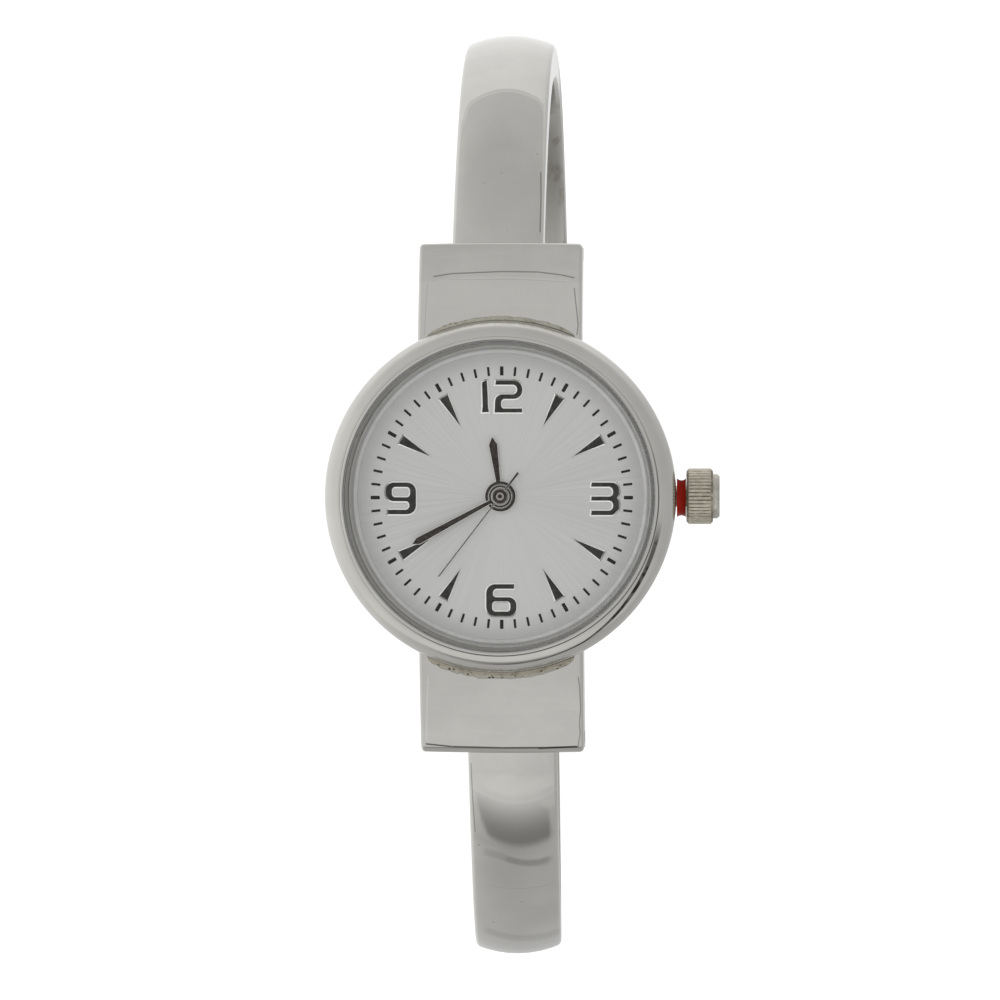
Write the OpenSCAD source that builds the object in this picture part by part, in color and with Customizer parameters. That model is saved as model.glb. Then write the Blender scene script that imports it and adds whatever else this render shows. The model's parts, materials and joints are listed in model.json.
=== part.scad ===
// Lady's cuff watch: a round quartz watch head soldered between two lug blocks, each holding a
// spring-hinged arm of the wrist cuff. The crown is drawn out and a red clip holds it there.
// Millimetres. The origin is the centre of the case back's outer face. +Z goes out through the
// dial, +Y to 12 o'clock and +X to the crown at 3 o'clock.

/* [Case] */
// Widest outside diameter of the case
case_d = 25; // [24.6:0.1:27]
// Height at which the shoulder meets the crystal ring
shoulder_z = 6.9; // [6.7:0.1:7.3]
// Height at which the straight flank turns into the shoulder
flank_top_z = 5.2; // [4.9:0.1:5.4]
// Height at which the straight flank turns in to the back
flank_low_z = 2.4; // [2.2:0.1:2.6]
// Thickness of the case's wall round the bore that takes the movement from the back
case_wall = 1.6; // [1.5:0.05:1.7]
// Width of the ledge in the bore that the dial surround bears on
ledge_w = 0.33; // [0.3:0.01:0.4]
// Width of the polished shoulder, from the flank to the ring round the crystal
shoulder_w = 1.18; // [1.15:0.01:1.25]
// Width of the polished ring round the crystal
crystal_ring_w = 0.36; // [0.32:0.01:0.42]
// Thickness of the crystal
crystal_t = 0.97; // [0.8:0.01:1.2]
// Width of the case back's rim beyond the bore
back_rim_w = 0.3; // [0.25:0.05:0.4]
// Thickness of the case back's rim
back_rim_t = 0.5; // [0.4:0.05:0.55]
// Thickness of the back gasket
gasket_t = 0.12; // [0.1:0.01:0.15]

/* [Dial] */
// Height of the dial's underside
dial_z = 4.05; // [4.02:0.01:4.1]
// Thickness of the dial
dial_t = 0.4; // [0.3:0.05:0.45]
// Width of the dial surround's slope, from the ledge to the dial
surround_w = 0.37; // [0.27:0.01:0.57]
// Plain rim of the dial outside the minute track
track_inset = 0.85; // [0.6:0.05:1.2]
// Length of a minute tick
tick_l = 0.65; // [0.5:0.05:0.8]
// Width of a plain minute tick
tick_w = 0.12; // [0.08:0.01:0.16]
// Width of every fifth tick
bold_tick_w = 0.22; // [0.18:0.01:0.3]
// Gap between the minute track and the numerals
numeral_gap = 0.38; // [0.33:0.01:0.63]
// Height of a numeral
numeral_h = 2.26; // [2.1:0.02:2.4]
// Thickness of the applied numerals and markers
applied_t = 0.15; // [0.1:0.01:0.2]
// Gap between the minute track and the hour markers
marker_gap = 0.45; // [0.3:0.01:0.7]
// Length of an hour marker
marker_l = 2.35; // [2:0.05:2.6]
// Width of an hour marker's wide end
marker_w = 0.66; // [0.5:0.02:0.8]

/* [Hands] */
// Minutes past twelve that the hour hand shows, as twelfths of an hour hand's turn in minutes
hour_hand_time = 704; // [0:1:719]
// Minute that the minute hand shows
minute_hand_time = 40.25; // [0:0.25:59.75]
// Second that the second hand shows
second_hand_time = 36.25; // [0:0.25:59.75]
// Length of the hour hand from the centre
hour_hand_l = 4.35; // [4:0.05:5]
// Length of the minute hand from the centre
minute_hand_l = 7.2; // [6.5:0.05:7.6]
// Length of the second hand from the centre
second_hand_l = 7.2; // [6.5:0.05:7.6]
// Length of the second hand's tail
second_tail_l = 2.15; // [1.5:0.05:2.5]

/* [Crown] */
// Height of the stem above the back's outer face
stem_z = 2.5; // [2.45:0.01:2.55]
// Diameter of the crown over its flutes
crown_d = 3.98; // [3.6:0.02:4.1]
// Length of the crown's fluted barrel
crown_l = 1.9; // [1.6:0.05:2.2]
// Number of flutes
flutes = 28; // [24:1:34]
// Gap between the case and the drawn crown
crown_gap = 0.72; // [0.7:0.01:0.8]
// Thickness of the red clip that fills the gap
clip_t = 0.64; // [0.5:0.01:0.66]
// Outside diameter of the red clip
clip_d = 3; // [2.8:0.05:3.1]
// Diameter of the crown's post, which slides in the crown tube
post_d = 1.5; // [1.4:0.02:1.56]

/* [Cuff] */
// Length of the cuff outside, from 12 to 6 o'clock
cuff_l = 69.75; // [66:0.25:72]
// Depth of the cuff outside, over its whole oval
cuff_h = 54; // [50:0.5:56]
// Height of the top of the cuff's oval above the case back
cuff_top_z = 4.6; // [4.3:0.1:4.8]
// Outside radius of the cuff's sides
side_r = 21; // [20:0.5:22]
// Width of an arm
arm_w = 6.55; // [6:0.05:6.8]
// Thickness of an arm at its crown
arm_t = 3.3; // [3.1:0.05:3.5]
// Radius of an arm's domed outer face, across its width
dome_r = 8; // [7:0.5:12]
// Width of the bevel along an arm's inner edges
arm_bevel = 0.35; // [0.2:0.05:0.5]
// How far the upper arm stands off its block's middle, away from the crown
upper_arm_shift = 0.4; // [0:0.05:1]

// How far the upper arm leans towards the crown's side below its hinge, in degrees
upper_arm_lean = 0.75; // [0:0.05:2]
// How far the lower arm stands off its block's middle, towards the crown
lower_arm_shift = 0.65; // [0:0.05:1]
// How far the lower arm leans away from the crown's side below its hinge, in degrees
lower_arm_lean = 1.5; // [0:0.1:2]
// How far the lower arm swings towards the crown's side beyond its hinge, in degrees
lower_arm_swing = 1; // [0:0.1:1.5]
// Width of the mouth between the arms' tips
mouth = 24; // [20:1:30]

/* [Lug blocks] */
// Width of a lug block
lug_w = 11.7; // [11.2:0.1:12.4]
// Reach of a lug block beyond the case's widest circle
lug_reach = 5.9; // [5.8:0.1:6.4]
// Height of a block's top face above the arm's
lug_step = 0.96; // [0.9:0.02:1.1]
// Distance from a block's outer end back to the hinge pin
pin_setback = 1; // [0.9:0.05:1.1]
// Diameter of the hinge pin
pin_d = 1; // [0.8:0.05:1.1]
// Diameter of the hinge spring's wire
wire_d = 0.4; // [0.3:0.02:0.42]
// Radius of the solder fillet between a block and the case
solder_r = 0.45; // [0.3:0.05:0.6]

/* [Movement] */
// Diameter of the movement
movement_d = 17.8; // [17.6:0.1:18]
// Tooth module of the wheels under the dial
motion_module = 0.11; // [0.105:0.001:0.112]
// Tooth module of the going train
train_module = 0.09; // [0.086:0.001:0.091]
// Diameter of the battery
battery_d = 5.8; // [5.6:0.1:5.8]
// Height of the battery
battery_h = 2.1; // [1.9:0.05:2.1]

/* [Hidden] */
$fn = 96;

steel = [0.8, 0.8, 0.78];
dark_metal = [0.25, 0.25, 0.24];
brass = [0.78, 0.66, 0.36];
eps = 0.01;
press_gap = 0.01;   // room round a pressed or soldered-in piece
run_gap = 0.03;     // room round a shaft that turns or slides
part_gap = 0.05;    // room between stacked pieces

case_r = case_d / 2;
bore_r = case_r - case_wall;
ledge_r = bore_r - ledge_w;
ring_r = case_r - shoulder_w;
crystal_r = ring_r - crystal_ring_w;
back_d = 2 * (bore_r + back_rim_w);
case_low_z = back_rim_t + gasket_t;
back_lip_z = 1.55;                       // top of the back's snap lip
back_lip_r = bore_r - part_gap;
ledge_z = 5.3;                           // underside of the ledge inside the case
seat_z = 6.06;                           // seat of the crystal and its ring
crystal_z = seat_z + gasket_t;
dial_top_z = dial_z + dial_t;
dial_r = bore_r - 0.15;
view_r = ledge_r - surround_w;
track_r = view_r - track_inset;
numeral_r = track_r - tick_l - numeral_gap - numeral_h / 2;
marker_r = track_r - tick_l - marker_gap;
upper_lug_short = 0.22;                 // the blocks are cut by hand: the upper one is a little short
lower_lug_short = -0.07;
upper_lug_off = 0.1;                    // and soldered on a little away from the crown's side
print_off = [0.08, -0.09];              // the print and the numerals stand a little off centre
past = 20;          // longer than anything that a cut goes through

// A circle through a flank point with an upright tangent and through a second point
function flank_arc_r(run, rise) = (run * run + rise * rise) / (2 * run);
shoulder_run = case_r - ring_r - press_gap;
shoulder_arc_r = flank_arc_r(shoulder_run, shoulder_z - flank_top_z);
tuck_run = case_r - back_d / 2 - 0.1;
tuck_arc_r = flank_arc_r(tuck_run, flank_low_z - case_low_z);

// The cuff's oval: a shallow top arc, a tight side arc and a shallow bottom arc
cuff_a = cuff_l / 2;
cuff_b = cuff_h / 2;
top_r = ((cuff_a - side_r) ^ 2 + cuff_b ^ 2 - side_r ^ 2) / (2 * (cuff_b - side_r));
oval_z = cuff_top_z - cuff_b;
top_arc_z = cuff_top_z - top_r;
low_arc_z = oval_z - (cuff_b - top_r);
join_angle = atan2(top_r - cuff_b, cuff_a - side_r);
mouth_angle = asin(mouth / 2 / top_r);

lip_y = case_r + lug_reach;
hinge_y = lip_y - pin_setback;
mid_r = top_r - arm_t / 2;
hinge_z = top_arc_z + sqrt(mid_r ^ 2 - hinge_y ^ 2);
hinge_slope = asin(hinge_y / mid_r);
pin_r = pin_d / 2;
knuckle_r = arm_t / 2 - 0.02;
roof_z = hinge_z + knuckle_r + 0.12;
heel_l = 2.6;
pocket_y = hinge_y - heel_l - 0.8;
pocket_w = arm_w + 0.3;
spring_room = 4.1;
spring_r = pin_r + wire_d + 0.05;       // mean radius of the coil
spring_room_r = spring_r + wire_d / 2 + 0.2;
leg_hole_r = wire_d / 2 + 0.05;

crown_r = crown_d / 2;
crown_x = case_r + crown_gap;
crown_cap_l = 0.47;
post_r = post_d / 2;
tube_bore_r = post_r + 0.05;
tube_r = tube_bore_r + 0.3;
tube_x = case_r - 1.55;
gasket_x = case_r - 0.3;
gasket_wire_r = 0.09;
clip_x = case_r + 0.04;
stem_r = 0.45;
stem_groove_x = 7.2;
square_side = 0.6;

plate_r = movement_d / 2;
plate_low_z = 2.9;
plate_top_z = 4;
ring_low_z = 1.62;
ring_foot_z = 0.85;
bridge_z = 1.3;
bridge_t = 0.28;
pivot_r = 0.12;
wheel_t = 0.18;

// Teeth of the wheels under the dial, from the minute hand to the hour hand and to the crown
cannon_n = 12;
minute_n = 36;
minute_pinion_n = 10;
hour_n = 40;
setting_n = 20;
clutch_n = 19;
motion_d = motion_module * (cannon_n + minute_n) / 2;
hour_module = 2 * motion_d / (minute_pinion_n + hour_n);
minute_turn = -60;                       // where the minute wheel stands, seen from the dial
minute_at = motion_d * [cos(minute_turn), sin(minute_turn)];
setting_d = motion_module * (minute_n + setting_n) / 2;
setting_at = [minute_at.x + sqrt(setting_d ^ 2 - minute_at.y ^ 2), 0];
clutch_r = motion_module * clutch_n / 2;
motion_z = stem_z + clutch_r - wheel_t / 2;
hour_wheel_z = motion_z + wheel_t + 0.09;
recess_z = motion_z - part_gap;
clutch_x = setting_at.x + motion_module * setting_n / 2;

// Teeth of the going train, from the rotor to the minute hand
rotor_n = 8;
fifth_n = 40;
fifth_pinion_n = 10;
second_n = 60;
second_pinion_n = 8;
third_n = 60;
third_pinion_n = 8;
centre_n = 64;
third_d = train_module * (second_pinion_n + third_n) / 2;
centre_module = 2 * third_d / (third_pinion_n + centre_n);
fifth_d = train_module * (fifth_pinion_n + second_n) / 2;
rotor_d = train_module * (rotor_n + fifth_n) / 2;
third_turn = 160;
fifth_turn = 50;
rotor_turn = 95;
third_at = third_d * [cos(third_turn), sin(third_turn)];
fifth_at = fifth_d * [cos(fifth_turn), sin(fifth_turn)];
rotor_at = fifth_at + rotor_d * [cos(rotor_turn), sin(rotor_turn)];
second_wheel_z = 1.75;
third_wheel_z = 2.02;
fifth_wheel_z = 2.3;
centre_wheel_z = 2.62;
rotor_r = 0.62;

// The turn of a driven wheel that puts one of its gaps on a tooth of its driver, which has a
// tooth at turn a; way is the direction from the driver to the driven wheel
function in_mesh(way, a, driver_n, driven_n) =
    way + 180 + 180 / driven_n - (a - way) * driver_n / driven_n;
setting_way = atan2(-minute_at.y, setting_at.x - minute_at.x);
minute_wheel_a = in_mesh(minute_turn, 0, cannon_n, minute_n);
hour_wheel_a = in_mesh(minute_turn + 180, 0, minute_pinion_n, hour_n);
setting_wheel_a = in_mesh(setting_way, minute_wheel_a, minute_n, setting_n);
third_wheel_a = in_mesh(third_turn, 0, second_pinion_n, third_n);
centre_wheel_a = in_mesh(third_turn + 180, 0, third_pinion_n, centre_n);
fifth_pinion_a = in_mesh(fifth_turn, 0, second_n, fifth_pinion_n);
rotor_pinion_a = in_mesh(rotor_turn, 0, fifth_n, rotor_n);
// The clutch has a gap at its top where the setting wheel has a tooth on the +X side
clutch_a = 180 / clutch_n - setting_wheel_a * setting_n / clutch_n;

battery_r = battery_d / 2;
battery_at = (plate_r - battery_r - 0.15) * [cos(250), sin(250)];
battery_z = 1.05;
coil_r = 0.9;
coil_l = 5.8;
coil_y = plate_r - 2.1;
core_l = 8.6;
core_x = -5;                             // the core's left end
coil_x = [core_x + 1.1, core_x + 1.1 + coil_l];
stator_z = 1.62;
stator_t = 0.35;
core_t = 0.33;
coil_z = stator_z + stator_t + core_t / 2;
core_w = 0.9;
bar_w = 1.6;
bar_y = rotor_at.y - 0.565;
board_t = 0.2;
board_z = plate_low_z - board_t - 0.02;
quartz_r = 0.7;
quartz_l = 4.4;
quartz_at = plate_r * [0.54, -0.607];
chip_t = 0.45;
chip_at = plate_r * [0.55, -0.382];
bridge_posts = plate_r * [[-0.663, 0.326], [0.562, 0.382], [0.27, -0.427]];
clamp_post = plate_r * [-0.697, -0.213];
post_out_r = 0.6;
screw_r = 0.25;
dial_feet = plate_r * [[-0.854, -0.146], [0.787, -0.36]];
foot_r = 0.35;
foot_l = 0.9;
lever_at = [stem_groove_x - 0.2, 3];
lever_z = 1.5;

minute_hub_z = 5.12;
hour_hub_z = 4.75;
second_hub_z = 5.47;
hand_t = 0.15;
hour_tube_r = 0.8;
cannon_r = 0.42;
arbor_r = 0.14;

// Repeated shapes

module ring(r_out, r_in, h) {
    difference() {
        cylinder(r = r_out, h = h);
        translate([0, 0, -eps]) cylinder(r = r_in, h = h + 2 * eps);
    }
}

// A watch wheel's outline: straight flanks to the pitch circle and pointed tips
function tooth(r, a, half) = [r * cos(a + half), r * sin(a + half)];
function wheel_outline(n, m) =
    let (r = m * n / 2, half = 76 / n)
    [for (i = [0:n - 1]) let (a = 360 * i / n) each [
        tooth(r - 1.25 * m, a, -half), tooth(r, a, -half), tooth(r + m, a, -0.35 * half),
        tooth(r + m, a, 0.35 * half), tooth(r, a, half), tooth(r - 1.25 * m, a, half)
    ]];

module toothed(n, m, h, bore = 0) {
    difference() {
        linear_extrude(height = h) polygon(wheel_outline(n, m));
        if (bore > 0) translate([0, 0, -eps]) cylinder(r = bore, h = h + 2 * eps, $fn = 48);
    }
}

// A toothed wheel with round crossings cut between its hub and its rim
module crossed_wheel(n, m, h, bore = 0) {
    r = m * n / 2;
    crossings = 5;
    difference() {
        toothed(n, m, h, bore);
        for (i = [0:crossings - 1]) rotate(360 * i / crossings)
            translate([r * 0.55, 0, -eps]) cylinder(r = r * 0.2, h = h + 2 * eps, $fn = 32);
    }
}

module along_x(x, r, l) {
    translate([x, 0, stem_z]) rotate([0, 90, 0]) cylinder(r = r, h = l);
}

// A copy of what stands at 12 o'clock, turned to 6 o'clock
module at_end(lower) {
    rotate(lower ? 180 : 0) children();
}

// Case

module case_profile() {
    // the straight flank between its two arcs, then the shoulder and the tuck to the back
    translate([0, flank_low_z]) square([case_r, flank_top_z - flank_low_z]);
    intersection() {
        translate([case_r - shoulder_arc_r, flank_top_z]) circle(r = shoulder_arc_r);
        translate([0, flank_top_z - eps]) square([case_r, shoulder_z - flank_top_z + eps]);
    }
    intersection() {
        translate([case_r - tuck_arc_r, flank_low_z]) circle(r = tuck_arc_r);
        translate([0, case_low_z]) square([case_r, flank_low_z - case_low_z + eps]);
    }
    translate([0, case_low_z]) square([case_r - shoulder_arc_r + 0.3, shoulder_z - case_low_z]);
    translate([0, case_low_z]) square([case_r - tuck_run, flank_low_z]);
}

module case_envelope() {
    rotate_extrude() case_profile();
}

module case_body() {
    color(steel) difference() {
        case_envelope();
        translate([0, 0, -1]) cylinder(r = bore_r, h = ledge_z + 1);
        translate([0, 0, ledge_z - eps])
            cylinder(r1 = ledge_r, r2 = ledge_r + 0.15, h = seat_z - ledge_z + 2 * eps);
        translate([0, 0, seat_z]) cylinder(r = ring_r + press_gap, h = 3);
        along_x(bore_r - 1, tube_r + press_gap, 4);
    }
}

module crystal_ring() {
    inner = crystal_r + press_gap;
    width = ring_r - inner;
    color(steel) rotate_extrude() {
        translate([inner, seat_z]) square([width, shoulder_z + 0.02 - seat_z]);
        translate([inner + width / 2, shoulder_z + 0.02]) circle(r = width / 2);
    }
}

module crystal_gasket() {
    color([0.3, 0.3, 0.3]) translate([0, 0, seat_z]) ring(crystal_r, ledge_r + 0.17, gasket_t);
}

module crystal() {
    bevel = 0.16;
    color([0.85, 0.9, 0.92, 0.3]) translate([0, 0, crystal_z]) {
        cylinder(r = crystal_r, h = crystal_t - bevel);
        translate([0, 0, crystal_t - bevel])
            cylinder(r1 = crystal_r, r2 = crystal_r - bevel, h = bevel);
    }
}

// The ring that hides the dial's edge: a low bright slope up to the case's own ledge
module dial_surround() {
    outer = bore_r - part_gap;
    color([0.86, 0.86, 0.85]) rotate_extrude() polygon([
        [view_r, dial_top_z], [outer, dial_top_z], [outer, ledge_z], [ledge_r, ledge_z],
        [view_r, dial_top_z + 0.25]
    ]);
}

module case_back() {
    edge = 0.25;
    notch_w = 2.4;
    color(steel) difference() {
        union() {
            cylinder(r1 = back_d / 2 - edge, r2 = back_d / 2, h = edge);
            translate([0, 0, edge]) cylinder(r = back_d / 2, h = back_rim_t - edge);
            translate([0, 0, edge]) cylinder(r = back_lip_r, h = back_rim_t + 0.14 - edge);
            translate([0, 0, edge]) ring(back_lip_r, back_lip_r - 0.4, back_lip_z - edge);
        }
        // thumb notch for prising the back off
        rotate(215) translate([back_d / 2 - 0.35, -notch_w / 2, back_rim_t - 0.22])
            cube([1, notch_w, 0.22 + eps]);
        // the lip stands clear of the crown tube's inner end
        along_x(bore_r - 2, tube_r + part_gap, 4);
    }
}

module back_gasket() {
    color([0.15, 0.15, 0.15]) translate([0, 0, back_rim_t])
        ring(back_d / 2 - 0.05, bore_r, gasket_t);
}

module crown_tube() {
    color(steel) difference() {
        along_x(tube_x, tube_r, case_r - 0.04 - tube_x);
        along_x(tube_x - 1, tube_bore_r, 4);
    }
}

// Lug blocks and hinges, drawn at 12 o'clock

module oval_slice(r, w, z) {
    translate([-w / 2, 0, z]) rotate([0, 90, 0]) cylinder(r = r, h = w, $fn = 180);
}

module lug_block(shift, short, off = 0) {
    edge = 0.35;
    lip = lip_y - short;
    top = top_r + lug_step;
    difference() {
        // the cuff's top arc, taken up by the step, with its upper long edges cut back
        translate([off, 0, 0]) intersection() {
            difference() {
                union() {
                    oval_slice(top, lug_w - 2 * edge, top_arc_z);
                    oval_slice(top - edge, lug_w, top_arc_z);
                    for (side = [-1, 1])
                        translate([side * (lug_w / 2 - edge), 0, top_arc_z]) rotate([0, 90, 0])
                            rotate_extrude($fn = 180) translate([top - edge, 0]) circle(r = edge, $fn = 32);
                }
                oval_slice(top_r - arm_t, lug_w + 1, top_arc_z);
            }
            translate([-lug_w / 2, case_r - 4, -past / 2]) cube([lug_w, lip - case_r + 4, past]);
        }
        // the chamfered outer end
        translate([0, lip, top_arc_z + sqrt(top ^ 2 - lip ^ 2)]) rotate([45, 0, 0])
            cube([lug_w + 1, 0.4, 0.4], center = true);
        case_envelope();
        translate([0, 0, -past]) cylinder(r = case_r - tuck_run + 0.3, h = past + flank_low_z);
        // hinge pocket, open below and at the outer end
        translate([shift - pocket_w / 2, pocket_y, roof_z - past]) cube([pocket_w, past, past]);
        hinge_bore(pin_r + press_gap, lug_w + 1);
        translate([shift, 0, 0]) spring_leg_hole();
    }
}

module hinge_bore(r, l) {
    translate([-l / 2, hinge_y, hinge_z]) rotate([0, 90, 0]) cylinder(r = r, h = l, $fn = 48);
}

// The spring's fixed leg ends in this hole in the pocket's inner wall
spring_turns = 4 + hinge_slope / 360;
spring_pitch = wire_d + 0.45;
spring_x = spring_turns * spring_pitch / 2;
module spring_leg_hole() {
    translate([spring_x, pocket_y + eps, hinge_z + spring_r]) rotate([90, 0, 0])
        cylinder(r = leg_hole_r, h = 1, $fn = 32);
}

module upper_lug_block() {
    color(steel) lug_block(-upper_arm_shift, upper_lug_short, -upper_lug_off);
}

module lower_lug_block() {
    color(steel) at_end(true) lug_block(-lower_arm_shift, lower_lug_short);
}

// A fillet of solder in the corner between the block's top and the case's flank
module solder_fillet() {
    bead_h = 0.3;
    foot_z = top_arc_z + sqrt((top_r + lug_step) ^ 2 - case_r ^ 2);
    bead_w = lug_w - 1.4;
    color([0.62, 0.58, 0.48]) difference() {
        intersection() {
            oval_slice(top_r + lug_step + bead_h, bead_w, top_arc_z);
            translate([0, 0, foot_z - 0.5])
                cylinder(r1 = case_r + solder_r + 0.4, r2 = case_r + 0.05, h = 1.5);
            translate([-bead_w, 0, 0]) cube([2 * bead_w, past, shoulder_z]);
        }
        oval_slice(top_r + lug_step, bead_w + 1, top_arc_z);
        cylinder(r = case_r, h = past, center = true);
    }
}

module upper_solder() {
    solder_fillet();
}

module lower_solder() {
    at_end(true) solder_fillet();
}

module hinge_pin() {
    color(steel) hinge_bore(pin_r, lug_w - 0.2);
}

module upper_hinge_pin() {
    hinge_pin();
}

module lower_hinge_pin() {
    at_end(true) hinge_pin();
}

// The torsion spring: a leg in the arm, four turns round the pin and a leg in the block
coil_steps = 12;
coil_end = 90 + 360 * 4;
coil_start = 90 - hinge_slope;
coil_rings = round((coil_end - coil_start) / 360 * coil_steps);
leg_in_arm = 2.4;
leg_in_block = hinge_y - pocket_y + 0.8;
function coil_point(i) =
    let (a = coil_start + (coil_end - coil_start) * i / coil_rings)
    [-spring_x + 2 * spring_x * i / coil_rings, spring_r * cos(a), spring_r * sin(a)];
arm_leg_end = coil_point(0) + leg_in_arm * [0, cos(-hinge_slope), sin(-hinge_slope)];
block_leg_end = coil_point(coil_rings) + [0, -leg_in_block, 0];
spring_path = concat([arm_leg_end], [for (i = [0:coil_rings]) coil_point(i)], [block_leg_end]);
wire_sides = 6;

function unit(v) = v / norm(v);
function tangent(path, i) =
    unit(path[min(i + 1, len(path) - 1)] - path[max(i - 1, 0)]);

// A tube swept along a path that never runs along X
module tube_along(path, r, sides) {
    n = len(path);
    points = [for (i = [0:n - 1]) let (
        t = tangent(path, i), u = unit(cross(t, [1, 0, 0])), v = cross(t, u)
    ) for (s = [0:sides - 1]) path[i] + r * (cos(360 * s / sides) * u + sin(360 * s / sides) * v)];
    skin = [for (i = [0:n - 2], s = [0:sides - 1]) let (
        a = i * sides + s, b = i * sides + (s + 1) % sides
    ) each [[a, b + sides, b], [a, a + sides, b + sides]]];
    caps = concat(
        [for (s = [1:sides - 2]) [0, s, s + 1]],
        [for (s = [1:sides - 2]) let (e = (n - 1) * sides) [e, e + s + 1, e + s]]
    );
    polyhedron(points, concat(skin, caps));
}

module hinge_spring() {
    color([0.5, 0.5, 0.5]) translate([0, hinge_y, hinge_z])
        tube_along(spring_path, wire_d / 2, wire_sides);
}

module upper_hinge_spring() {
    translate([-upper_arm_shift, 0, 0]) hinge_spring();
}

module lower_hinge_spring() {
    at_end(true) translate([-lower_arm_shift, 0, 0]) hinge_spring();
}

// The least gap of the spring to itself is its pitch less its wire
echo(spring_gap = spring_pitch - wire_d);

// An arm's section, outer face at radius r: domed outside, with bevelled inner edges
module arm_section(r) {
    half = arm_w / 2;
    floor = r - arm_t;
    intersection() {
        polygon([
            [floor, arm_bevel - half], [floor + arm_bevel, -half], [r, -half],
            [r, half], [floor + arm_bevel, half], [floor, half - arm_bevel]
        ]);
        translate([r - dome_r, 0]) circle(r = dome_r, $fn = 128);
    }
}

module arm_arc(r, y, z, from, to) {
    translate([0, y, z]) rotate([90, 0, 90]) rotate([0, 0, to])
        rotate_extrude(angle = from - to, $fn = 180) arm_section(r);
}

// A round ear, domed across its width like the arm's outer face and a shade narrower
module barrel() {
    inset = 0.05;
    translate([0, hinge_y, hinge_z]) rotate([0, 90, 0]) rotate_extrude() intersection() {
        translate([knuckle_r - dome_r, 0]) circle(r = dome_r, $fn = 128);
        translate([0, inset - arm_w / 2]) square([arm_t, arm_w - 2 * inset]);
    }
}

function arc_angle(l, r) = l / r * 180 / PI;

// The arm's three arcs and its rounded tip, turned a little about the hinge's middle
module arm_sweep(lean, swing) {
    root_angle = 90 - hinge_slope;
    tip_angle = -90 + mouth_angle;
    // the side's arc reaches a little into its neighbours, so that the three join into one solid
    short = join_angle + arc_angle(1.4, top_r);
    long = join_angle + arc_angle(1.9, side_r);
    translate([0, hinge_y, hinge_z]) rotate([0, -lean, swing]) translate([0, -hinge_y, -hinge_z])
        difference() {
            union() {
                arm_arc(top_r, 0, top_arc_z, root_angle, short);
                arm_arc(side_r, cuff_a - side_r, oval_z, long, -long);
                arm_arc(top_r, 0, low_arc_z, -short, tip_angle);
            }
            // the tip is a half round, seen square on
            translate([0, 0, low_arc_z]) rotate([tip_angle, 0, 0]) translate([0, top_r, 0])
                tip_cutter();
        }
}

module arm(lean = 0, swing = 0) {
    ear_w = (arm_w - spring_room) / 2;
    difference() {
        union() {
            arm_sweep(lean, swing);
            barrel();
            // heels on both ears, which stop against the pocket's roof when the arm is shut
            for (side = [-1, 1]) translate([side * ((arm_w - ear_w) / 2 - 0.08), hinge_y - heel_l / 2,
                hinge_z + (knuckle_r + 0.4) / 2])
                cube([ear_w, heel_l, knuckle_r - 0.4], center = true);
        }
        hinge_bore(pin_r + run_gap, arm_w + 1);
        // room for the spring, closed outside by the arm's skin and open towards the block
        hinge_bore(spring_room_r, spring_room);
        translate([-spring_room / 2, hinge_y - past, hinge_z - past / 2])
            cube([spring_room, past, past]);
        // the hole for the spring's moving leg
        translate([-spring_x, hinge_y, hinge_z]) rotate([-hinge_slope, 0, 0])
            translate([0, 0, spring_r]) rotate([-90, 0, 0])
            cylinder(r = leg_hole_r, h = leg_in_arm + 0.2, $fn = 32);
    }
}

module tip_cutter() {
    reach = arm_w / 2;
    difference() {
        translate([0, 0, reach / 2 - 1]) cube([arm_w + 1, 4 * arm_t, reach + 2], center = true);
        translate([0, 0, reach]) rotate([90, 0, 0]) cylinder(r = reach, h = 5 * arm_t, center = true);
    }
}

module upper_arm() {
    color(steel) translate([-upper_arm_shift, 0, 0]) arm(upper_arm_lean);
}

module lower_arm() {
    color(steel) at_end(true) translate([-lower_arm_shift, 0, 0])
        arm(lower_arm_lean, lower_arm_swing);
}

// Dial

module dial() {
    color([0.84, 0.85, 0.84]) difference() {
        union() {
            translate([0, 0, dial_z]) cylinder(r = dial_r, h = dial_t);
            for (at = dial_feet) translate([at.x, at.y, dial_z - foot_l])
                cylinder(r = foot_r, h = foot_l + eps, $fn = 32);
        }
        translate([0, 0, dial_z - eps]) cylinder(r = hour_tube_r + 0.15, h = dial_t + 2 * eps);
    }
}

module minute_track() {
    color("black") translate([print_off.x, print_off.y, 0]) for (i = [0:59]) rotate(-6 * i)
        translate([0, track_r - tick_l / 2, dial_top_z + 0.01])
            cube([i % 5 == 0 ? bold_tick_w : tick_w, tick_l, 0.02], center = true);
}

// The points of an arc that rounds the corner p between the corners a and b
function rounding(a, p, b, r) = r == 0 ? [p] : let (
    u = unit(a - p), v = unit(b - p), half = acos(u * v) / 2,
    centre = p + unit(u + v) * r / sin(half), start = p + u * r / tan(half) - centre,
    way = cross(v, u) > 0 ? 1 : -1, n = 5
) [for (i = [0:n]) let (t = way * (180 - 2 * half) * i / n)
    centre + [start.x * cos(t) - start.y * sin(t), start.x * sin(t) + start.y * cos(t)]];

// An outline from corners of x, y and radius, drawn for a numeral 2.26 high
function soft_outline(corners) = let (
    k = numeral_h / 2.26, n = len(corners), at = [for (c = corners) k * [c.x, c.y]]
) [for (i = [0:n - 1]) each rounding(at[(i + n - 1) % n], at[i], at[(i + 1) % n], k * corners[i].z)];

module digit_one() {
    polygon(soft_outline([
        [-1.4, 1, 0], [-1.14, 1.14, 0], [-1.06, 1.15, 0], [-1, 0.26, 0], [-0.97, -0.76, 0],
        [-0.9, -1.1, 0], [-1.4, -1.12, 0], [-1.35, -0.66, 0], [-1.375, 0.26, 0]
    ]));
}

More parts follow.
